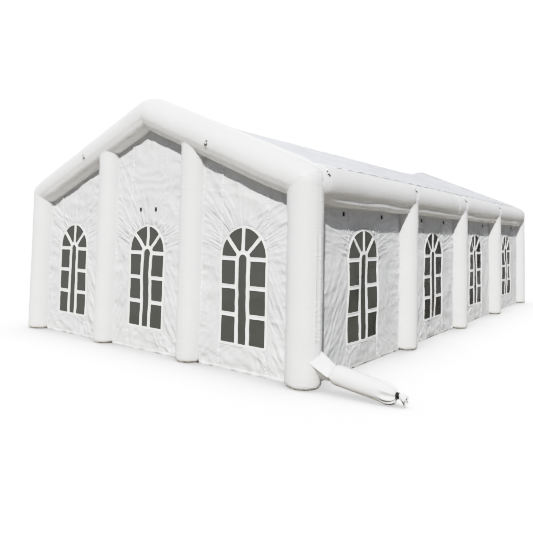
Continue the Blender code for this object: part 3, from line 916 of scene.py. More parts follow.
def sheet_spots(side, seed, y, down, lift=0.0):
    """Where the sheet's cloth lies, at a place along the marquee and a length down from the ridge."""
    x, z, lean_x, lean_z = sheet_line(down)
    climb = np.clip((np.abs(y) - (HALF_Y - 1.50)) / 1.465, 0, 1) ** 1.7
    z = z + (beam_top_z(x) + SHEET_GAP - z) * climb
    shoulder = np.sqrt(np.maximum(BEAM_R ** 2 - (HALF_Y - np.abs(y)) ** 2, 0)) - BEAM_R
    on_beam = beam_top_z(x) + shoulder / math.cos(BEAM_PITCH) + 0.004
    z = np.maximum(z, np.where(np.abs(y) > HALF_Y - 0.2, on_beam, -9))
    z = z - (EAVE_R - eave_radius(y)) * smooth_step((down - TO_SHOULDER + 0.25) / 0.25)
    loose = np.sin(np.clip(down / TO_SHOULDER, 0, 1) * math.pi) * 0.4 + 0.6
    loose = loose * np.where(down > TO_SHOULDER - 0.25, smooth_step((SHEET_LENGTH - down) / 0.30), 1)
    loose = loose * smooth_step((WELD_Y - np.abs(y)) / 0.25 + 0.15) * smooth_step(down / 0.12 + 0.2)
    hem = np.clip((down - (SHEET_LENGTH - 0.030)) / 0.030, 0, 1)
    fold = roof_folds(y, down, seed) * loose + 0.002 + lift
    fold = fold + hem * (0.004 + 0.005 * wander(y[:, None], 0.45, seed + 5))
    return np.stack([MID_X + side * (x + fold * lean_x), y, z + fold * lean_z], 1)


def roof_grid(side, seed, rows, from_down, to_down, lift):
    """A grid of cloth between two lengths down the slope; lift raises each of its rows."""
    bm = bmesh.new()
    bmesh.ops.create_grid(bm, x_segments=340, y_segments=rows, size=1)
    grid = np.array([v.co for v in bm.verts])
    share = 1 - (grid[:, 1] + 1) / 2
    y, down = grid[:, 0] * WELD_Y, from_down + (to_down - from_down) * share
    raised = np.interp(share, np.linspace(0, 1, len(lift)), lift)
    settle(bm, sheet_spots(side, seed, y, down, raised), np.stack([down, y], 1))
    bmesh.ops.recalc_face_normals(bm, faces=bm.faces)
    if sum(f.normal.z for f in bm.faces) < 0:
        bmesh.ops.reverse_faces(bm, faces=bm.faces)
    return bm


HEM_LIFT = (-0.001, 0.004, 0.004, 0.004, -0.002)
for side_name, side in SIDES:
    node = f"{side_name}_roof_sheet"
    bm = roof_grid(side, 205 + side, 60, 0, SHEET_LENGTH, (0, 0))
    sheet = finish_piece(node + "_cloth", bm, ROOF_CLOTH, [node])
    bm = roof_grid(side, 205 + side, 4, SHEET_LENGTH - 0.034, SHEET_LENGTH + 0.004, HEM_LIFT)
    hem = finish_piece(node + "_hem", bm, WELD_CLOTH)


# %% [markdown]
# ## Flaps along the gable beams
# The sheet is joined to the beam under a narrow white flap, which is part of the tube. It leans back
# over the joint from the apex to the corner, and there it runs down round the end of the eave tube as
# a low raised seam. It is a folded strip, a grid whose rows go up one side and down the other.

# %% Raise the flaps
FLAP_HEIGHT = 0.044
FLAP_LEAN = math.radians(52)
FLAP_SECTION = ((-0.0018, -0.012), (-0.0018, 0.0), (-0.0018, 0.5), (-0.0024, 1.0),
                (0.0024, 1.0), (0.0018, 0.5), (0.0018, 0.0), (0.0018, -0.012))


def grid_strip(bm, long, wide):
    """Add a grid, and tell each point's step along it and its step across it."""
    made = bmesh.ops.create_grid(bm, x_segments=long - 1, y_segments=wide - 1, size=1)
    grid = np.array([v.co for v in made["verts"]])
    steps = (grid[:, :2] + 1) / 2 * np.array([long - 1, wide - 1])
    return np.round(steps).astype(int).T

def beam_flap(side, end, seed):
    x = np.linspace(0.004, HALF_X + 0.05, 170)
    lean = BEAM_PITCH * np.clip(x / (APEX_FILLET * math.sin(BEAM_PITCH)), 0, 1)
    on_beam = np.stack([x, 0 * x + HALF_Y - 0.036, beam_top_z(x), lean], 1)
    turn = np.radians(np.linspace(70, 36, 20))
    y = HALF_Y - 0.036 - 0.094 * smooth_step(np.linspace(0, 1.4, 20))
    r = eave_radius(y) - 0.002
    ring = np.stack([HALF_X + r * np.cos(turn), y, EAVE_Z + r * np.sin(turn), math.pi / 2 - turn], 1)
    line = np.concatenate([on_beam, ring])
    for _ in range(12):
        line[1:-1] = (line[:-2] + line[1:-1] + line[2:]) / 3
    height = FLAP_HEIGHT * (1 - 0.55 * smooth_step((line[:, 0] - HALF_X + 0.10) / 0.2))
    height = height * (1 + 0.08 * wander(line[:, :1], 0.5, seed))

    bm = bmesh.new()
    step, row = grid_strip(bm, len(line), len(FLAP_SECTION))
    section = np.array(FLAP_SECTION)[row]
    rise = np.where(section[:, 1] > 0, section[:, 1] * height[step], section[:, 1])
    tip = np.clip(section[:, 1], 0, 1)
    sway = 0.003 * wander(line[:, :1], 0.28, seed + 1)[step] * tip
    x, y, z, lean = line[step].T
    upright = rise * math.cos(FLAP_LEAN)
    y = y + section[:, 0] + sway - np.maximum(rise, 0) * math.sin(FLAP_LEAN)
    spots = np.stack([MID_X + side * (x + upright * np.sin(lean)), end * y, z + upright * np.cos(lean)], 1)
    settle(bm, spots, np.stack([np.hypot(x, z), rise], 1))
    bmesh.ops.recalc_face_normals(bm, faces=bm.faces)
    return bm


for corner, side, end in CORNERS:
    flap = beam_flap(side, end, 230 + side + 3 * end)
    finish_piece(corner + "_gable_beam_flap", flap, WELD_CLOTH)
print("flaps:", len(CORNERS), "of", round(FLAP_HEIGHT * 1000), "mm")


# %% [markdown]
# ## Panels between the posts
# Every wall is made in the same way, so each panel is first described by a few numbers: where its
# window's centre is, how far it reaches to both sides, how high it goes, and which way it faces. A
# point of a panel is given across, up and out of the cloth, and one function sends it to its place.

# %% Describe the fourteen panels
def panel_placer(face, centre):
    """Send (across, up, out) on one of the four faces to the marquee's own directions."""
    def place(across, up, out):
        across, up, out = np.broadcast_arrays(across, up, out)
        if face == "front":
            return np.stack([centre.x + across, -HALF_Y - out, up], 1)
        if face == "rear":
            return np.stack([centre.x - across, HALF_Y + out, up], 1)
        if face == "right":
            return np.stack([MID_X + SIDE_WALL_X + out, centre.y + across, up], 1)
        return np.stack([MID_X - SIDE_WALL_X - out, centre.y - across, up], 1)
    return place


FACES = ("front", "rear", "left", "right")
# A panel goes this far up into the tube above it.
TOP_TUCK = 0.008

def top_edge(gable, middle_x, turned):
    """Height of a panel's top edge, under a sloping beam or a level eave tube."""
    def top(across):
        if gable:
            return beam_axis_z(middle_x + turned * across) - BEAM_R / math.cos(BEAM_PITCH) + TOP_TUCK
        return EAVE_Z - math.sqrt(EAVE_R ** 2 - (SIDE_WALL_X - HALF_X) ** 2) + TOP_TUCK + 0 * across
    return top

def describe_panel(face, number):
    wall, window = f"{face}_wall_{number}", f"{face}_window_{number}"
    gable = face in ("front", "rear")
    axis = 0 if gable else 1
    turned = -1 if face in ("rear", "left") else 1
    centre = middle(window)
    reach = sorted(turned * (edge[axis] - centre[axis]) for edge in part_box(wall))
    return {
        "wall": wall, "window": window, "number": number, "face": face, "gable": gable,
        "left": reach[0] - 0.006, "right": reach[1] + 0.006, "top": top_edge(gable, centre.x - MID_X, turned),
        "half_window": half(window, axis), "place": panel_placer(face, centre),
        "peaked": gable and number == 2, "first_bay": number == 1 and not gable,
        "seed": 300 + 10 * FACES.index(face) + number,
    }

PANELS = [describe_panel(face, n) for face in FACES[:2] for n in (1, 2, 3)]
PANELS += [describe_panel(face, n) for face in FACES[2:] for n in (1, 2, 3, 4)]
ARCH_RISE = CROWN_Z - SPRING_Z
for panel in PANELS[:3]:
    print(panel["wall"], "reaches", round(panel["left"], 3), round(panel["right"], 3))


# %% [markdown]
# ## Creased wall cloth
# A wall is welded in along its posts and hangs slack between them, so every pull shows as a fold:
# long tight folds from the posts to the window, rays round its arch, short creases off the posts, a
# slack belly over the window, a crumpled foot and puckers along the seams. The relief is one
# function of a point on the panel, so the tapes and ties that are sewn on later can ask it for the
# height beneath them.

# %% The relief of a panel
PUCKER_STEP = 0.058


def frame_distance(panel, across, up):
    """Distance out from the window's opening."""
    w = panel["half_window"]
    over = (np.hypot(across / w, (up - SPRING_Z) / ARCH_RISE) - 1) * (w + ARCH_RISE) / 2
    beside = np.hypot(np.maximum(np.abs(across) - w, 0), np.maximum(SILL_Z - up, 0))
    return np.maximum(np.where(up > SPRING_Z, over, beside), 0)


def belly(panel, across, up):
    """The panel's large slow billow, which the window shares."""
    width = panel["right"] - panel["left"]
    top = panel["top"](across)
    inside = np.sin(np.clip((across - panel["left"]) / width, 0, 1) * math.pi)
    inside = inside * np.sin(np.clip(up / top * 0.92 + 0.08, 0, 1) * math.pi)
    points = np.stack(np.broadcast_arrays(across, up), 1)
    return inside * (0.012 + 0.012 * wander(points, 1.1, panel["seed"] + 50, 10))


def fold_line(across, up, start, end, width, bow=0.0):
    """One long fold from start to end, a sharp crest of height 1 between soft hollows."""
    start, end = np.array(start, float), np.array(end, float)
    length = np.linalg.norm(end - start)
    way = (end - start) / length
    dx, dz = across - start[0], up - start[1]
    along = (dx * way[0] + dz * way[1]) / length
    off = dx * way[1] - dz * way[0] - bow * 4 * along * (1 - along)
    ends = smooth_step(along / 0.12 + 0.3) * smooth_step((1 - along) / 0.35)
    return (np.exp(-np.abs(off) / width) - 0.45 * bell(off, 2.6 * width)) * ends


def tight_folds(panel):
    """Folds drawn tight between the posts and the window: start, end, width, height and bow."""
    pick = np.random.default_rng(panel["seed"]).uniform
    w = panel["half_window"]
    for side, edge in ((-1, panel["left"]), (1, panel["right"])):
        head = float(panel["top"](edge))
        gap = abs(edge) - w
        for step in range(6):
            turn = math.radians(98 - 17 * step + pick(-5, 5))
            goal = (side * w * 1.05 * math.cos(turn), SPRING_Z + ARCH_RISE * 1.08 * math.sin(turn))
            down = (head - SPRING_Z - 0.05) * (step / 6) ** 1.5
            start = (edge, head - 0.03 - down + pick(-0.03, 0.03))
            yield start, goal, pick(0.022, 0.036), pick(0.010, 0.022), pick(-0.04, 0.04)
        for step in range(6):
            goal = (side * (w + 0.02), 0.42 + 0.17 * step + pick(-0.05, 0.05))
            start = (edge, 0.03 + 0.035 * step ** 1.5 + pick(-0.01, 0.02))
            yield start, goal, pick(0.022, 0.034), pick(0.010, 0.020), side * pick(-0.01, 0.05)
        for level in np.arange(0.55, head - 0.15, 0.16):
            level += pick(-0.05, 0.05)
            goal = (edge - side * gap * pick(0.35, 0.95), level + pick(-0.06, 0.09))
            yield (edge, level), goal, pick(0.016, 0.024), pick(0.006, 0.014), pick(-0.02, 0.02)
        for step in range(3):
            start = (side * (w * pick(0.2, 1.0)), SILL_Z - 0.03)
            goal = (edge * pick(0.4, 0.9), 0.02)
            yield start, goal, pick(0.014, 0.026), pick(0.010, 0.020), pick(-0.05, 0.05)


def panel_slack(panel):
    """How slack a panel's cloth is: for its fine creases, and for its deep folds."""
    if panel["gable"]:
        return 1.0, 1.0
    return (0.85, 0.40) if panel["first_bay"] else (0.75, 0.78)

def relief(panel, across, up):
    """Height of the creased cloth out of its plane."""
    across, up = np.broadcast_arrays(np.asarray(across, float), np.asarray(up, float))
    seed, w = panel["seed"], panel["half_window"]
    left, right = panel["left"], panel["right"]
    top = panel["top"](across)
    points = np.stack([across, up], 1)
    to_side = np.minimum(across - left, right - across)
    to_frame = frame_distance(panel, across, up)
    height = 0 * up
    for start, goal, width, size, bow in tight_folds(panel):
        height = height + size * fold_line(across, up, start, goal, width, bow)

    turn = np.arctan2(up - SPRING_Z + 0.1, across) / (math.pi / 2)
    rays = crest(turn * 6.5 + 0.35 * wander(points, 0.9, seed + 7)) - 0.35
    height = height + 0.016 * rays * np.exp(-to_frame / 0.20) * smooth_step((up - SPRING_Z) / 0.5 + 0.6)
    middle_z = (CROWN_Z + top) / 2 + 0.05
    slack = crest((up - 0.24 * across ** 2) / 0.16 + 0.3 * wander(points, 0.9, seed + 9)) - 0.35
    slack_share = smooth_step((top - CROWN_Z - 0.5) / 0.5)
    near_middle = np.exp(-((up - middle_z) / 0.25) ** 2 - (across / 0.5) ** 2)
    height = height + 0.020 * slack * slack_share * near_middle

    crumple = wander(points, 0.20, seed + 10) + 0.8 * ridged(wander(points, 0.34, seed + 11))
    height = height + 0.006 * crumple * bell(up - 0.08, 0.20)
    height = height + 0.0070 * ridged(wander(points, 0.75, seed + 12))
    patchy = smooth_step(wander(points, 0.9, seed + 16) * 0.7 + 0.3)
    height = height + 0.0045 * patchy * ridged(wander(points, 0.24, seed + 13))
    height = height + 0.0010 * wander(points, 0.08, seed + 14)

    beside_seam = np.abs(np.abs(across) - w)
    sewn = ((up < SILL_Z) | (up > SPRING_Z + 0.12)).astype(float)
    pucker = crest(up / PUCKER_STEP + 0.6 * wander(points, 0.25, seed + 15)) - 0.30
    height = height + sewn * (0.0050 * pucker * bell(beside_seam, 0.020) - 0.0030 * bell(beside_seam, 0.010))

    held = smooth_step(to_side / 0.030 + 0.25) * smooth_step((top - up) / 0.040 + 0.3)
    held = held * (0.12 + 0.88 * smooth_step(to_frame / 0.05))
    foot = 0.005 * wander(np.stack([across], 1), 0.30, seed + 20) * np.exp(-up / 0.05)
    return panel_slack(panel)[1] * height * held + belly(panel, across, up) + foot


def fan_of_folds(panel, across, up):
    """Which fold, how far out and how strong, for the folds that fan out from the arch."""
    above = np.maximum(up - SPRING_Z + 0.16, 0.02)
    turn = np.arctan2(across, 1.4 * above ** 2)
    away = frame_distance(panel, across, up)
    pull = np.exp(-away / 0.75) * smooth_step((up - SPRING_Z) / 0.8 + 0.6) * smooth_step(away / 0.04)
    if panel["first_bay"]:
        pull = pull * (0.6 + 1.7 * np.exp(-away / 0.18))
    elif not panel["gable"]:
        pull = pull * (1 + smooth_step(across / 0.4))
    return np.stack([turn, away + panel["seed"], pull * panel_slack(panel)[0]], 1)


def haul_of_folds(panel, across, up):
    """The same for the folds between the window's sides and the feet of the posts."""
    over = 0.88 * np.abs(across) + 0.47 * up
    pull = smooth_step((1.7 - up) / 0.7) * smooth_step((np.abs(across) - 0.08) / 0.30)
    pull = pull * smooth_step(frame_distance(panel, across, up) / 0.04)
    if panel["first_bay"]:
        pull = pull * 0.45
    lengthwise = 0.88 * up - 0.47 * np.abs(across) + panel["seed"] + 5 * np.sign(across)
    return np.stack([over, lengthwise, pull * panel_slack(panel)[0]], 1)


def tug_of_creases(panel, across, up):
    """The same for the level creases that start at a post."""
    to_side = np.minimum(across - panel["left"], panel["right"] - across)
    pull = np.exp(-to_side / 0.22) * smooth_step(to_side / 0.02)
    return np.stack([to_side + panel["seed"], up, pull * panel_slack(panel)[0]], 1)


sample = relief(PANELS[2], np.linspace(-0.6, 0.6, 50), np.full(50, 0.2))
print("the cloth at knee height lies between", np.round([sample.min() * 1000, sample.max() * 1000]), "mm")


# %% [markdown]
# ## Wall panels
# A panel starts as two circles with a bridge between them, cut into rings. The inner circle becomes
# the window's opening and the outer one the panel's edge, so that the rings follow the window near
# it, as the folds do.

# %% Hang the wall panels
AROUND = (64, 96, 64, 96)
RINGS, EVENNESS = 44, 1.15


def walk(path, count):
    """Points at even steps along a path, leaving out its end."""
    path = np.asarray(path, float)
    at = np.concatenate([[0], np.cumsum(np.hypot(*np.diff(path, axis=0).T))])
    want = np.linspace(0, at[-1], count, endpoint=False)
    return np.stack([np.interp(want, at, path[:, 0]), np.interp(want, at, path[:, 1])], 1)


def arch(half_width, start_deg, end_deg):
    turn = np.radians(np.linspace(start_deg, end_deg, 40))
    return [(half_width * math.cos(t), SPRING_Z + ARCH_RISE * math.sin(t)) for t in turn]


def opening_outline(panel):
    w = panel["half_window"]
    runs = [
        [(-w, SILL_Z), (w, SILL_Z)],
        [(w, SILL_Z), *arch(w, 0, 50)],
        arch(w, 50, 130),
        [*arch(w, 130, 180), (-w, SILL_Z)],
    ]
    return np.concatenate([walk(run, count) for run, count in zip(runs, AROUND)])


def panel_outline(panel):
    left, right, top = panel["left"], panel["right"], panel["top"]
    crown = [(0.0, float(top(0.0)))] if panel["peaked"] else []
    runs = [
        [(left, 0.004), (right, 0.004)],
        [(right, 0.004), (right, float(top(right)))],
        [(right, float(top(right))), *crown, (left, float(top(left)))],
        [(left, float(top(left))), (left, 0.004)],
    ]
    return np.concatenate([walk(run, count) for run, count in zip(runs, AROUND)])


def ring_mesh(inner, outer):
    """A flat mesh between two matched outlines: bmesh and the (across, up) of its points."""
    count = len(inner)
    bm = bmesh.new()
    for radius in (1, 2):
        bmesh.ops.create_circle(bm, segments=count, radius=radius)
    bridge = bmesh.ops.bridge_loops(bm, edges=bm.edges[:])
    bmesh.ops.subdivide_edges(bm, edges=bridge["edges"], cuts=RINGS - 1, use_grid_fill=True)
    disc = np.array([v.co for v in bm.verts])
    start = math.atan2(disc[0, 1], disc[0, 0])
    turned = (np.arctan2(disc[:, 1], disc[:, 0]) - start) / (2 * math.pi)
    spoke = np.round(turned * count).astype(int) % count
    out = np.clip(np.hypot(disc[:, 0], disc[:, 1]) - 1, 0, 1)[:, None] ** EVENNESS
    return bm, inner[spoke] * (1 - out) + outer[spoke] * out


def area_within(outline):
    x, y = outline.T
    return abs(np.sum(x * np.roll(y, -1) - y * np.roll(x, -1))) / 2

def flat_area(panel):
    return area_within(panel_outline(panel)) - area_within(opening_outline(panel))


def hang_wall(panel):
    bm, flat = ring_mesh(opening_outline(panel), panel_outline(panel))
    across, up = flat.T
    spots = panel["place"](across, np.maximum(up - 0.003, 0.001), relief(panel, across, up))
    on_roll = np.stack([across + 2.0 * panel["seed"], up, panel_slack(panel)[0] + 0 * up], 1)
    settle(bm, spots, flat, laid=on_roll, fan=fan_of_folds(panel, across, up),
           haul=haul_of_folds(panel, across, up), tug=tug_of_creases(panel, across, up))
    return finish_piece(panel["wall"] + "_cloth", bm, WALL_CLOTH, [panel["wall"]])


for panel in PANELS:
    panel["cloth"] = hang_wall(panel)
print("wall panels:", len(PANELS), "of", len(PANELS[0]["cloth"].data.polygons), "faces")


# %% [markdown]
# ## Windows
# A window is one pane of clear film behind the opening. Its bars are strips of the tarpaulin welded on
# in front: a strip round the opening, a tall narrow light down the middle with a round head, a bar
# up from that head and two slanting ones, and three level bars on each side. A strip is thickest
# along its two welded edges, and each is a flat ribbon of faces moved along its middle line.

# %% Glaze the windows
BAR_WIDTH = 0.054
BAR_LEVELS = (1.446, 1.080, 0.720)
CENTRE_LIGHT = 0.171
HEAD_Z = 1.440
RIBBON_PROFILE = ((-1.0, -0.004), (-0.96, 0.0034), (-0.80, 0.0056), (-0.56, 0.0014), (0.0, 0.0022),
                  (0.56, 0.0014), (0.80, 0.0056), (0.96, 0.0034), (1.0, -0.004))


def add_ribbon(bm, path, width, surface, profile=RIBBON_PROFILE, closed=False):
    """A strip along a path of (across, up), lying on surface(across, up); surface gives the height."""
    path, profile = np.asarray(path, float), np.array(profile)
    step, row = grid_strip(bm, len(path), len(profile))
    ahead = np.gradient(path, axis=0)
    if closed:
        ahead[0] = ahead[-1] = path[1] - path[-2]
    ahead /= np.hypot(ahead[:, 0], ahead[:, 1])[:, None]
    sideways = profile[row, 0] * width / 2
    flat = path[step] + sideways[:, None] * np.stack([-ahead[step, 1], ahead[step, 0]], 1)
    return flat, surface(flat[:, 0], flat[:, 1]) + profile[row, 1]


def straight(start, end, step=0.035):
    count = max(2, int(math.dist(start, end) / step) + 1)
    return np.linspace(start, end, count)


def window_bars(panel):
    """Middle lines of the bars, with their widths."""
    w = panel["half_window"]
    light = CENTRE_LIGHT * w + BAR_WIDTH / 2
    foot = SILL_Z + 0.004
    head = [(light * math.cos(t), HEAD_Z + light * math.sin(t)) for t in np.linspace(0, math.pi, 17)]
    right_side = straight((light, foot), (light, HEAD_Z - 0.01))
    left_side = straight((-light, HEAD_Z - 0.01), (-light, foot))
    yield [*right_side, *head, *left_side], BAR_WIDTH
    outer = light + BAR_WIDTH / 2 - 0.006
    for sign in (-1, 1):
        for level in BAR_LEVELS:
            yield straight((sign * outer, level), (sign * (w - 0.004), level)), BAR_WIDTH
        lean = math.radians(45)
        reach = 1 / math.hypot(math.cos(lean) / w, math.sin(lean) / ARCH_RISE)
        tip = (sign * math.cos(lean) * (reach + 0.004), HEAD_Z + 0.015 + math.sin(lean) * (reach + 0.004))
        root = (sign * math.cos(lean) * outer, HEAD_Z + math.sin(lean) * outer)
        yield straight(root, tip), BAR_WIDTH * 0.9
    yield straight((0, HEAD_Z + outer), (0, CROWN_Z - 0.004)), BAR_WIDTH * 0.9


def glaze(panel):
    w, seed = panel["half_window"], panel["seed"]

    def pane_height(across, up):
        points = np.stack(np.broadcast_arrays(across, up), 1)
        return belly(panel, across, up) + 0.0016 * wander(points, 0.30, seed + 30)

    bm = bmesh.new()
    bmesh.ops.create_grid(bm, x_segments=20, y_segments=44, size=1)
    grid = np.array([v.co for v in bm.verts])
    up = SILL_Z - 0.006 + (grid[:, 1] + 1) / 2 * (CROWN_Z - SILL_Z + 0.010)
    arch_up = np.clip((up - SPRING_Z) / (ARCH_RISE + 0.006), 0, 1)
    across = grid[:, 0] * (w + 0.006) * np.sqrt(1 - np.minimum(arch_up, 0.998) ** 2)
    flat = np.stack([across, up], 1)
    settle(bm, panel["place"](across, up, pane_height(across, up) - 0.003), flat)
    film = finish_piece(panel["window"] + "_film", bm, FILM, [panel["window"]])

    bm = bmesh.new()
    all_flat, all_height = [], []
    bars = [(path, width, False) for path, width in window_bars(panel)]
    ring = opening_outline(panel)
    bars.append((np.concatenate([ring, ring[:1]]), 0.030, True))
    for path, width, closed in bars:
        raised = 0.0012 if closed else 0.0
        flat, height = add_ribbon(bm, path, width, pane_height, closed=closed)
        all_flat.append(flat)
        all_height.append(height + raised)
    flat, height = np.concatenate(all_flat), np.concatenate(all_height)
    wavy = 0.003 * wander(flat, 0.25, seed + 31)
    spots = panel["place"](flat[:, 0] + wavy * (np.abs(flat[:, 0]) < w - 0.03), flat[:, 1], height)
    settle(bm, spots, flat)
    bars_piece = finish_piece(panel["window"] + "_bars", bm, WELD_CLOTH)
    return film, bars_piece


for panel in PANELS:
    panel["film"], panel["bars"] = glaze(panel)
print("windows:", len(PANELS), "with", len(PANELS[0]["bars"].data.polygons), "faces of bars")


# %% [markdown]
# ## Seams and hems of the walls
# A doubled hem runs along the foot of each wall and beside the posts. It takes its height from the
# panel's relief, so it follows every fold that it crosses.

# %% Sew the tapes
TAPE_PROFILE = ((-1.0, -0.003), (-0.8, 0.0018), (0.0, 0.0022), (0.8, 0.0018), (1.0, -0.003))
SEAM_WIDTH = 0.016


def gather_height(up, seed):
    """A seam's middle line gathers the cloth every six centimetres."""
    turn = up / PUCKER_STEP + 0.5 * wander(np.stack([up], 1), 0.3, seed)
    return 0.0130 * (0.5 + 0.5 * np.cos(2 * math.pi * turn)) ** 1.5 + 0.0015

def sew_tapes(panel):
    w, left, right, top = panel["half_window"], panel["left"], panel["right"], panel["top"]
    runs = [(straight((left + 0.01, 0.024), (right - 0.01, 0.024), 0.03), 0.032)]
    for edge, inside in ((left, left + 0.016), (right, right - 0.016)):
        runs.append((straight((inside, 0.03), (inside, float(top(edge)) - 0.02), 0.018), 0.018))
    for edge in (-w - 0.006, w + 0.006):
        runs.append((straight((edge, SPRING_Z + 0.12), (edge, float(top(edge)) - 0.02), 0.010), SEAM_WIDTH))
        runs.append((straight((edge, 0.05), (edge, SILL_Z - 0.02), 0.010), SEAM_WIDTH))
    bm = bmesh.new()
    all_flat, all_height = [], []
    for number, (path, width) in enumerate(runs):
        flat, height = add_ribbon(bm, path, width, partial(relief, panel), TAPE_PROFILE)
        gathered = gather_height(flat[:, 1], panel["seed"] + 60 + number) if number > 0 else 0.001
        all_flat.append(flat)
        all_height.append(height + gathered)
    flat, height = np.concatenate(all_flat), np.concatenate(all_height)
    settle(bm, panel["place"](flat[:, 0], np.maximum(flat[:, 1], 0.002), height), flat)
    cloth = WELD_CLOTH if panel["gable"] else WALL_CLOTH
    return finish_piece(panel["wall"] + "_tapes", bm, cloth)


def roof_over(panel):
    if not panel["gable"]:
        return [f"{panel['face']}_eave_tube_cloth"]
    side = "left" if panel["number"] < 3 else "right"
    return [f"{panel['face']}_{side}_gable_beam_tube"]


for panel in PANELS:
    panel["tapes"] = sew_tapes(panel)
    edges = panel_outline(panel)
    roof_over(panel)
    flat_area(panel)
print("a wall panel's flat cloth:", round(flat_area(PANELS[0]), 2), "square metres")


# %% [markdown]
# ## Weld strips on the corner posts
# A strip of tarpaulin covers the closing weld of each corner post from hip to head height. Welding
# shrinks it a little, so short creases cross it. It is a grid laid on the post, with its edges raised.

# %% Lay the weld strips
STRIP_WIDTH = 0.088
STRIP_REACH = (0.55, 1.78)
STRIP_PROFILE = ((-1.0, -0.002), (-0.94, 0.0050), (-0.80, 0.0055), (-0.68, 0.0018), (0.0, 0.0020),
                 (0.68, 0.0018), (0.80, 0.0055), (0.94, 0.0050), (1.0, -0.002))


def weld_strip(side, end, seed):
    centre = (MID_X + side * HALF_X, end * HALF_Y)

    def surface(around, up):
        points = np.stack([around, up], 1)
        crease = crest(up / 0.075 + 0.8 * wander(points, 0.35, seed)) - 0.25
        return 0.0060 * crease * smooth_step(wander(points[:, 1:], 0.5, seed + 1) + 0.7) + 0.001

    bm = bmesh.new()
    path = straight((0, STRIP_REACH[0]), (0, STRIP_REACH[1]), 0.012)
    flat, height = add_ribbon(bm, path, STRIP_WIDTH, surface, STRIP_PROFILE)
    from_weld = flat[:, 0] / CORNER_R
    turn = SEAM_TURN[side, end] + from_weld
    r = CORNER_R + height - 0.001
    spots = np.stack([centre[0] + r * np.cos(turn), centre[1] + r * np.sin(turn), flat[:, 1]], 1)
    return settle(bm, spots, flat, laid=laid_round(CORNER_R, from_weld, flat[:, 1]))


for corner, side, end in CORNERS:
    strip = weld_strip(side, end, 500 + 3 * side + 11 * end)
    finish_piece(corner + "_corner_post_strip", strip, TUBE_CLOTH)
print("weld strips:", len(CORNERS))


# %% [markdown]
# ## Inflation sleeve
# The blower is tied into this sleeve. It leaves the corner post through a gusset, a collar of flat
# pieces cut like a kite, and its free end is gathered, strapped shut and left to flare. The same
# blown cylinder serves again: its first rings go from the kite on the post to the sleeve's round
# section, and its last ones turn back inside, so that the flared end looks open.

# %% Blow up the sleeve
SLEEVE_TURN = math.radians(4)
SLEEVE_LINE = ((0.10, 0.262), (0.33, 0.222), (0.90, 0.134), (1.02, 0.116), (1.12, 0.104), (1.16, 0.103),
               (1.235, 0.066))
SLEEVE_R = 0.116
NECK_R = 0.034
GATHER_AT, NECK_AT, NECK_END, TAIL_END = 1.005, 1.125, 1.158, 1.232
# The kite on the post: where a corner joins the sleeve's ring, its own turn round the post, its height.
KITE = ((0, 25, 0.430), (30, 25, 0.430), (105, -44, 0.337), (187.5, 8, 0.115), (258.75, 70, 0.300),
        (341.25, 25, 0.430), (360, 25, 0.430))
SLEEVE_STEPS = ((0, 0.12, 0.26, 0.52, 0.80, 0.87, 0.965, 1.0), (0, 1, 1.12, 2, 3, 4, 5, 6))


# The angle of the kite's corner whose seam shows as a ridge.
KITE_SEAM = 105

def ring_reach(angle):
    """How far out the gusset ends; its ring is a little aslant."""
    return 0.375 + 0.035 * np.cos(angle)

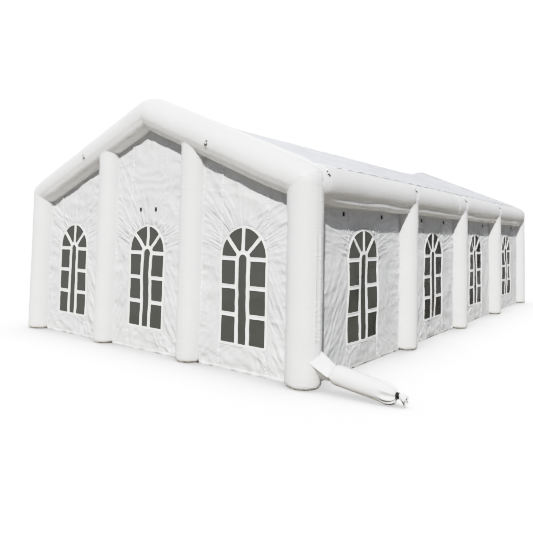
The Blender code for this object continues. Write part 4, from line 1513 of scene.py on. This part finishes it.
def sleeve_cloth(seed):
    foot = np.array([MID_X + HALF_X, -HALF_Y, 0])
    ahead = np.array([math.cos(SLEEVE_TURN), math.sin(SLEEVE_TURN), 0])
    forward = np.array([math.sin(SLEEVE_TURN), -math.cos(SLEEVE_TURN), 0])
    upward = np.array([0, 0, 1.0])
    line = np.array(SLEEVE_LINE)

    def beside_line(at, up, sideways):
        """A place beside the sleeve's middle line, at a distance out of the post."""
        height = np.interp(at, line[:, 0], line[:, 1]) + up
        return foot + at[:, None] * ahead + height[:, None] * upward + sideways[:, None] * forward

    def round_ring(angle):
        """The sleeve's first ring, where the gusset ends."""
        lip = SLEEVE_R - 0.016
        return beside_line(ring_reach(angle), lip * np.cos(angle), lip * np.sin(angle))

    def shape(angle, share):
        step = np.interp(share, *SLEEVE_STEPS)
        ends = (GATHER_AT - 0.05, NECK_AT, NECK_END, TAIL_END, TAIL_END - 0.035)
        legs = np.stack([CORNER_R + 0 * angle, ring_reach(angle), *(at + 0 * angle for at in ends)], 1)
        whole = np.minimum(step.astype(int), 5)
        rows = np.arange(len(angle))
        s = legs[rows, whole] + (step - whole) * (legs[rows, whole + 1] - legs[rows, whole])
        into = np.clip((s - GATHER_AT) / (NECK_AT - GATHER_AT), 0, 1)
        r = NECK_R + (SLEEVE_R - 0.006 * np.clip(s - 0.4, 0, 1) - NECK_R) * np.sqrt(1 - into ** 2)
        flare = smooth_step((s - NECK_END) / (TAIL_END - NECK_END))
        r = r + 0.034 * flare - 0.016 * np.clip(step - 5, 0, 1)
        gathers = crest(angle / (2 * math.pi) * 11 + 0.4 * np.sin(2 * angle + 1)) - 0.45
        gathered = smooth_step((s - GATHER_AT + 0.09) / 0.12) * (1 - 0.6 * smooth_step((s - NECK_AT) / 0.01))
        r = r + 0.036 * gathers * gathered * np.clip(r / 0.08, 0.25, 1)
        r = r * (1 + flare * (0.30 * np.sin(5 * angle + 0.8) + 0.16 * np.sin(9 * angle + 2)))
        laid = laid_round(SLEEVE_R, angle - math.pi, s)
        body = (step > 1) & (step < 3)
        r = r + body * 0.0025 * wander(laid, 0.4, seed)
        beyond = s - ring_reach(angle)
        r = r - body * 0.034 * np.exp(-np.maximum(beyond, 0) / 0.022)
        r = r + body * 0.004 * (crest(angle * 4.5 + np.sin(3 * angle)) - 0.4) * np.exp(-beyond / 0.04)
        flatten = np.where(step > 4, 1 - 0.35 * flare, 1.0)
        spot = beside_line(s, r * np.cos(angle) * flatten, r * np.sin(angle))

        turn = np.degrees(angle) % 360
        joined, turns, heights = np.array(KITE).T
        corners = round_ring(np.radians(joined))
        ring = np.stack([np.interp(turn, joined, corner) for corner in corners.T], 1)
        spot = spot + (ring - round_ring(angle)) * (body * np.exp(-np.maximum(beyond, 0) / 0.035))[:, None]
        seam = 0.006 * bell(turn - KITE_SEAM, 2.2) * np.clip(step * 8, 0, 1)
        ring = ring + (seam * np.cos(angle))[:, None] * upward + (seam * np.sin(angle))[:, None] * forward
        azimuth = np.radians(np.interp(turn, joined, turns))
        up = np.interp(turn, joined, heights)
        inside = CORNER_R - 0.010
        on_post = foot + np.stack([inside * np.cos(azimuth), inside * np.sin(azimuth), up], 1)
        share_out = np.clip(step, 0, 1)[:, None]
        gusset = on_post + (ring - on_post) * share_out
        spot = np.where(share_out < 1, gusset, spot)
        spot[:, 2] = np.maximum(spot[:, 2], 0.002)
        return spot, laid

    return blow_tube(96, 110, shape)


finish_piece("inflation_sleeve_cloth", sleeve_cloth(600), TUBE_CLOTH, ["inflation_sleeve"], 32)
print("sleeve reaches", round(TAIL_END - CORNER_R, 2), "m out of the post")


# %% [markdown]
# ## Strap round the sleeve's neck
# A hook and loop strap holds the neck shut. Its band is one small profile spun round the neck, and
# its loose end hangs beside it.

# %% Wrap the strap
STRAP_WIDTH, STRAP_THICK = 0.034, 0.006


def neck_strap():
    bm = bmesh.new()
    profile = bmesh.ops.create_circle(bm, segments=12, radius=0.5)["verts"]
    bmesh.ops.scale(bm, vec=(STRAP_THICK, STRAP_WIDTH, 1), verts=profile)
    bmesh.ops.translate(bm, vec=(NECK_R + STRAP_THICK / 2, 0, 0), verts=profile)
    bmesh.ops.spin(bm, geom=profile + bm.edges[:], cent=(0, 0, 0), axis=(0, 1, 0), angle=2 * math.pi,
                   steps=40, use_merge=True)
    band = set(bm.verts)
    loose = bmesh.ops.create_cube(bm, size=1)["verts"]
    bmesh.ops.scale(bm, vec=(STRAP_THICK, STRAP_WIDTH * 0.85, 0.075), verts=loose)
    bmesh.ops.translate(bm, vec=(NECK_R + STRAP_THICK, 0, -0.034), verts=loose)
    edges = {e for v in loose for e in v.link_edges}
    lengthwise = [e for e in edges if abs(e.verts[0].co.z - e.verts[1].co.z) > 0.05]
    bmesh.ops.subdivide_edges(bm, edges=lengthwise, cuts=8, use_grid_fill=True)
    for vert in set(bm.verts) - band:
        hang = max(-vert.co.z, 0) / 0.07
        vert.co.x += 0.012 * math.sin(hang * 2.6)
        vert.co.y += 0.008 * hang * hang
    bmesh.ops.recalc_face_normals(bm, faces=bm.faces)
    layer = bm.verts.layers.float_vector.new("laid")
    for vert in bm.verts:
        vert[layer] = vert.co
    to_front = -math.pi / 2 + math.radians(20)
    bmesh.ops.rotate(bm, matrix=Matrix.Rotation(to_front, 3, "Y"), verts=bm.verts)
    bmesh.ops.rotate(bm, matrix=Matrix.Rotation(SLEEVE_TURN - math.pi / 2, 3, "Z"), verts=bm.verts)
    at = (NECK_AT + NECK_END) / 2
    height = np.interp(at, *np.array(SLEEVE_LINE).T)
    spot = Vector((MID_X + HALF_X + at * math.cos(SLEEVE_TURN), -HALF_Y + at * math.sin(SLEEVE_TURN),
                   height))
    bmesh.ops.translate(bm, vec=spot, verts=bm.verts)
    return bm


finish_piece("sleeve_tie_strap", neck_strap(), WEBBING, ["sleeve_tie"], 40)
print("strap:", STRAP_WIDTH * 1000, "mm wide")


# %% [markdown]
# ## Anchor rings
# Guy lines are clipped to the tubes. At each anchor an oval patch is welded to the tube, and a band
# across its middle holds a long steel link. A patch is a disc with inset rings that is bent onto the
# tube, and a link is a round wire profile spun into a ring and then drawn out.

# %% Fit the anchor rings
PATCH_SIZE = (0.090, 0.126)
LINK_SIZE = (0.036, 0.070)
LINK_WIRE = 0.0042
BAND_SIZE = (0.062, 0.024)
BAND_SHIFT = 0.004


def bent_onto_tube(start, along, outward, radius):
    """Send (across, up, out) on a patch to its place; up runs round the tube."""
    start, along, outward = (np.array(v, float) for v in (start, along, outward))
    upward = np.cross(outward, along)
    upward = upward if upward[2] > 0 else -upward

    def place(across, up, out):
        bend = up / radius
        way = np.cos(bend)[:, None] * outward + np.sin(bend)[:, None] * upward
        return start + across[:, None] * along + (radius + out)[:, None] * way
    return place


def move_by(bm, place, out_of):
    flat = np.array([v.co for v in bm.verts])
    settle(bm, place(flat[:, 0], flat[:, 1], out_of(flat)), flat[:, :2])
    return bm


def anchor_patch(place):
    bm = bmesh.new()
    bmesh.ops.create_circle(bm, cap_ends=True, segments=40, radius=1)
    for thickness in (0.05, 0.08, 0.25, 0.3):
        inner = [f for f in bm.faces if len(f.verts) > 4]
        bmesh.ops.inset_region(bm, faces=inner, thickness=thickness)
    size = np.array(PATCH_SIZE) / 2
    reach = np.array([v.co.length for v in bm.verts])
    bmesh.ops.scale(bm, vec=(size[0], size[1], 1), verts=bm.verts)
    band = bmesh.new()
    bmesh.ops.create_grid(band, x_segments=24, y_segments=6, size=0.5)
    bmesh.ops.scale(band, vec=(*BAND_SIZE, 1), verts=band.verts)
    bmesh.ops.translate(band, vec=(0, BAND_SHIFT, 0), verts=band.verts)

    def dished(flat):
        return 0.0045 * smooth_step((1 - reach) / 0.08) - 0.0005 - 0.0015 * smooth_step((0.9 - reach) / 0.2)

    def arched(flat):
        rim = smooth_step((0.5 - np.abs((flat[:, 1] - BAND_SHIFT) / BAND_SIZE[1])) / 0.12)
        return 0.0022 + 0.0125 * np.exp(-(flat[:, 0] / 0.020) ** 4) + 0.0015 * rim

    return join([move_by(bm, place, dished), move_by(band, place, arched)])


def anchor_link(place):
    bm = bmesh.new()
    wire = bmesh.ops.create_circle(bm, segments=10, radius=LINK_WIRE)["verts"]
    bmesh.ops.rotate(bm, matrix=Matrix.Rotation(math.pi / 2, 3, "X"), verts=wire)
    bmesh.ops.translate(bm, vec=(LINK_SIZE[0] / 2, 0, 0), verts=wire)
    bmesh.ops.spin(bm, geom=wire + bm.edges[:], cent=(0, 0, 0), axis=(0, 0, 1), angle=2 * math.pi,
                   steps=28, use_merge=True)
    drawn_out = (LINK_SIZE[1] - LINK_SIZE[0]) / 2
    for vert in bm.verts:
        vert.co.y += drawn_out * math.tanh(vert.co.y / 0.003)
    bmesh.ops.recalc_face_normals(bm, faces=bm.faces)
    height = np.array([v.co.z for v in bm.verts])

    def hanging(flat):
        return 0.0075 + height - 0.10 * (flat[:, 1] - 0.02) * (flat[:, 1] < 0.02)

    return move_by(bm, place, hanging)


def join(parts):
    """One bmesh of several, which are freed."""
    whole = bmesh.new()
    for part in parts:
        mesh = bpy.data.meshes.new("part")
        part.to_mesh(mesh)
        part.free()
        whole.from_mesh(mesh)
        bpy.data.meshes.remove(mesh)
    return whole


BEAM_ANCHOR_AT = 1.53
BEAM_ANCHOR_TURN = math.radians(96)
EAVE_ANCHOR_TURN = math.radians(27)
END_ANCHOR_Y = HALF_Y - 0.13

anchors = {}
for corner, side, end in CORNERS:
    uphill = np.array([-side * math.cos(BEAM_PITCH), 0, math.sin(BEAM_PITCH)])
    top = np.array([side * math.sin(BEAM_PITCH), 0, math.cos(BEAM_PITCH)])
    start = np.array([MID_X + side * HALF_X, end * HALF_Y, EAVE_Z]) + BEAM_ANCHOR_AT * uphill
    outward = math.cos(BEAM_ANCHOR_TURN) * top + math.sin(BEAM_ANCHOR_TURN) * np.array([0, end, 0])
    anchors[corner + "_gable_beam"] = [bent_onto_tube(start, uphill, outward, BEAM_R)]
for side_name, side in SIDES:
    places = []
    outward = (side * math.cos(EAVE_ANCHOR_TURN), 0, math.sin(EAVE_ANCHOR_TURN))
    for y in (-END_ANCHOR_Y, *SIDE_POST_YS, END_ANCHOR_Y):
        radius = float(eave_radius(y)) - 0.006
        places.append(bent_onto_tube((MID_X + side * HALF_X, y, EAVE_Z), (0, 1, 0), outward, radius))
    anchors[f"{side_name}_eave_tube"] = places
for node, places in anchors.items():
    finish_piece(node + "_patches", join([anchor_patch(place) for place in places]), WELD_CLOTH)
    finish_piece(node + "_links", join([anchor_link(place) for place in places]), STEEL)
print("anchor rings:", sum(len(places) for places in anchors.values()))


# %% [markdown]
# ## Wall ties
# The panels that can be rolled up carry pairs of short black ties high on the cloth, each sewn on
# under a small light tab. A tie hangs from its tab and lies on the creased cloth.

# %% Sew on the wall ties
TIE_SIZE = (0.030, 0.058)
TAB_SIZE = (0.026, 0.034)
TIE_PROFILE = ((-1.0, 0.000), (-0.85, 0.016), (0.0, 0.020), (0.85, 0.016), (1.0, 0.000))
TIES = {"gable": (2.10, (-0.175, 0.175)), "side": (2.06, (-0.60, 0.58))}


def wall_tie(panel, across, up):
    """The black tie and its light tab."""
    tie, tab = bmesh.new(), bmesh.new()
    surface = partial(relief, panel)
    top, foot = up + TIE_SIZE[1] / 2, up - TIE_SIZE[1] / 2
    path = straight((across, top), (across + 0.003, foot), 0.007)
    flat, height = add_ribbon(tie, path, TIE_SIZE[0], surface, TIE_PROFILE)
    waist = 1 - 0.15 * bell(flat[:, 1] - up - 0.010, 0.008)
    flat[:, 0] = across + (flat[:, 0] - across) * waist
    settle(tie, panel["place"](flat[:, 0], flat[:, 1], height), flat)
    path = straight((across, top - 0.006), (across, top - 0.006 + TAB_SIZE[1]), 0.008)
    flat, height = add_ribbon(tab, path, TAB_SIZE[0], surface, TAPE_PROFILE)
    settle(tab, panel["place"](flat[:, 0], flat[:, 1], height + 0.008), flat)
    return tie, tab


for panel in PANELS:
    if panel["gable"] and not panel["peaked"]:
        continue
    up, offsets = TIES["gable" if panel["peaked"] else "side"]
    ties, tabs = zip(*(wall_tie(panel, across, up) for across in offsets))
    finish_piece(panel["wall"] + "_ties", join(ties), WEBBING)
    finish_piece(panel["wall"] + "_tabs", join(tabs), WELD_CLOTH)
print("wall ties:", 2 * (2 + 8))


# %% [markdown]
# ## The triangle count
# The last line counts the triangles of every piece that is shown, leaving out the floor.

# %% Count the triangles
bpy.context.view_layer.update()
shown = [o for o in bpy.context.scene.objects if o.type == "MESH" and not o.hide_render]
added = [o for o in shown if o.name != "floor"]
print("triangles:", sum(len(face.vertices) - 2 for o in added for face in o.data.polygons))
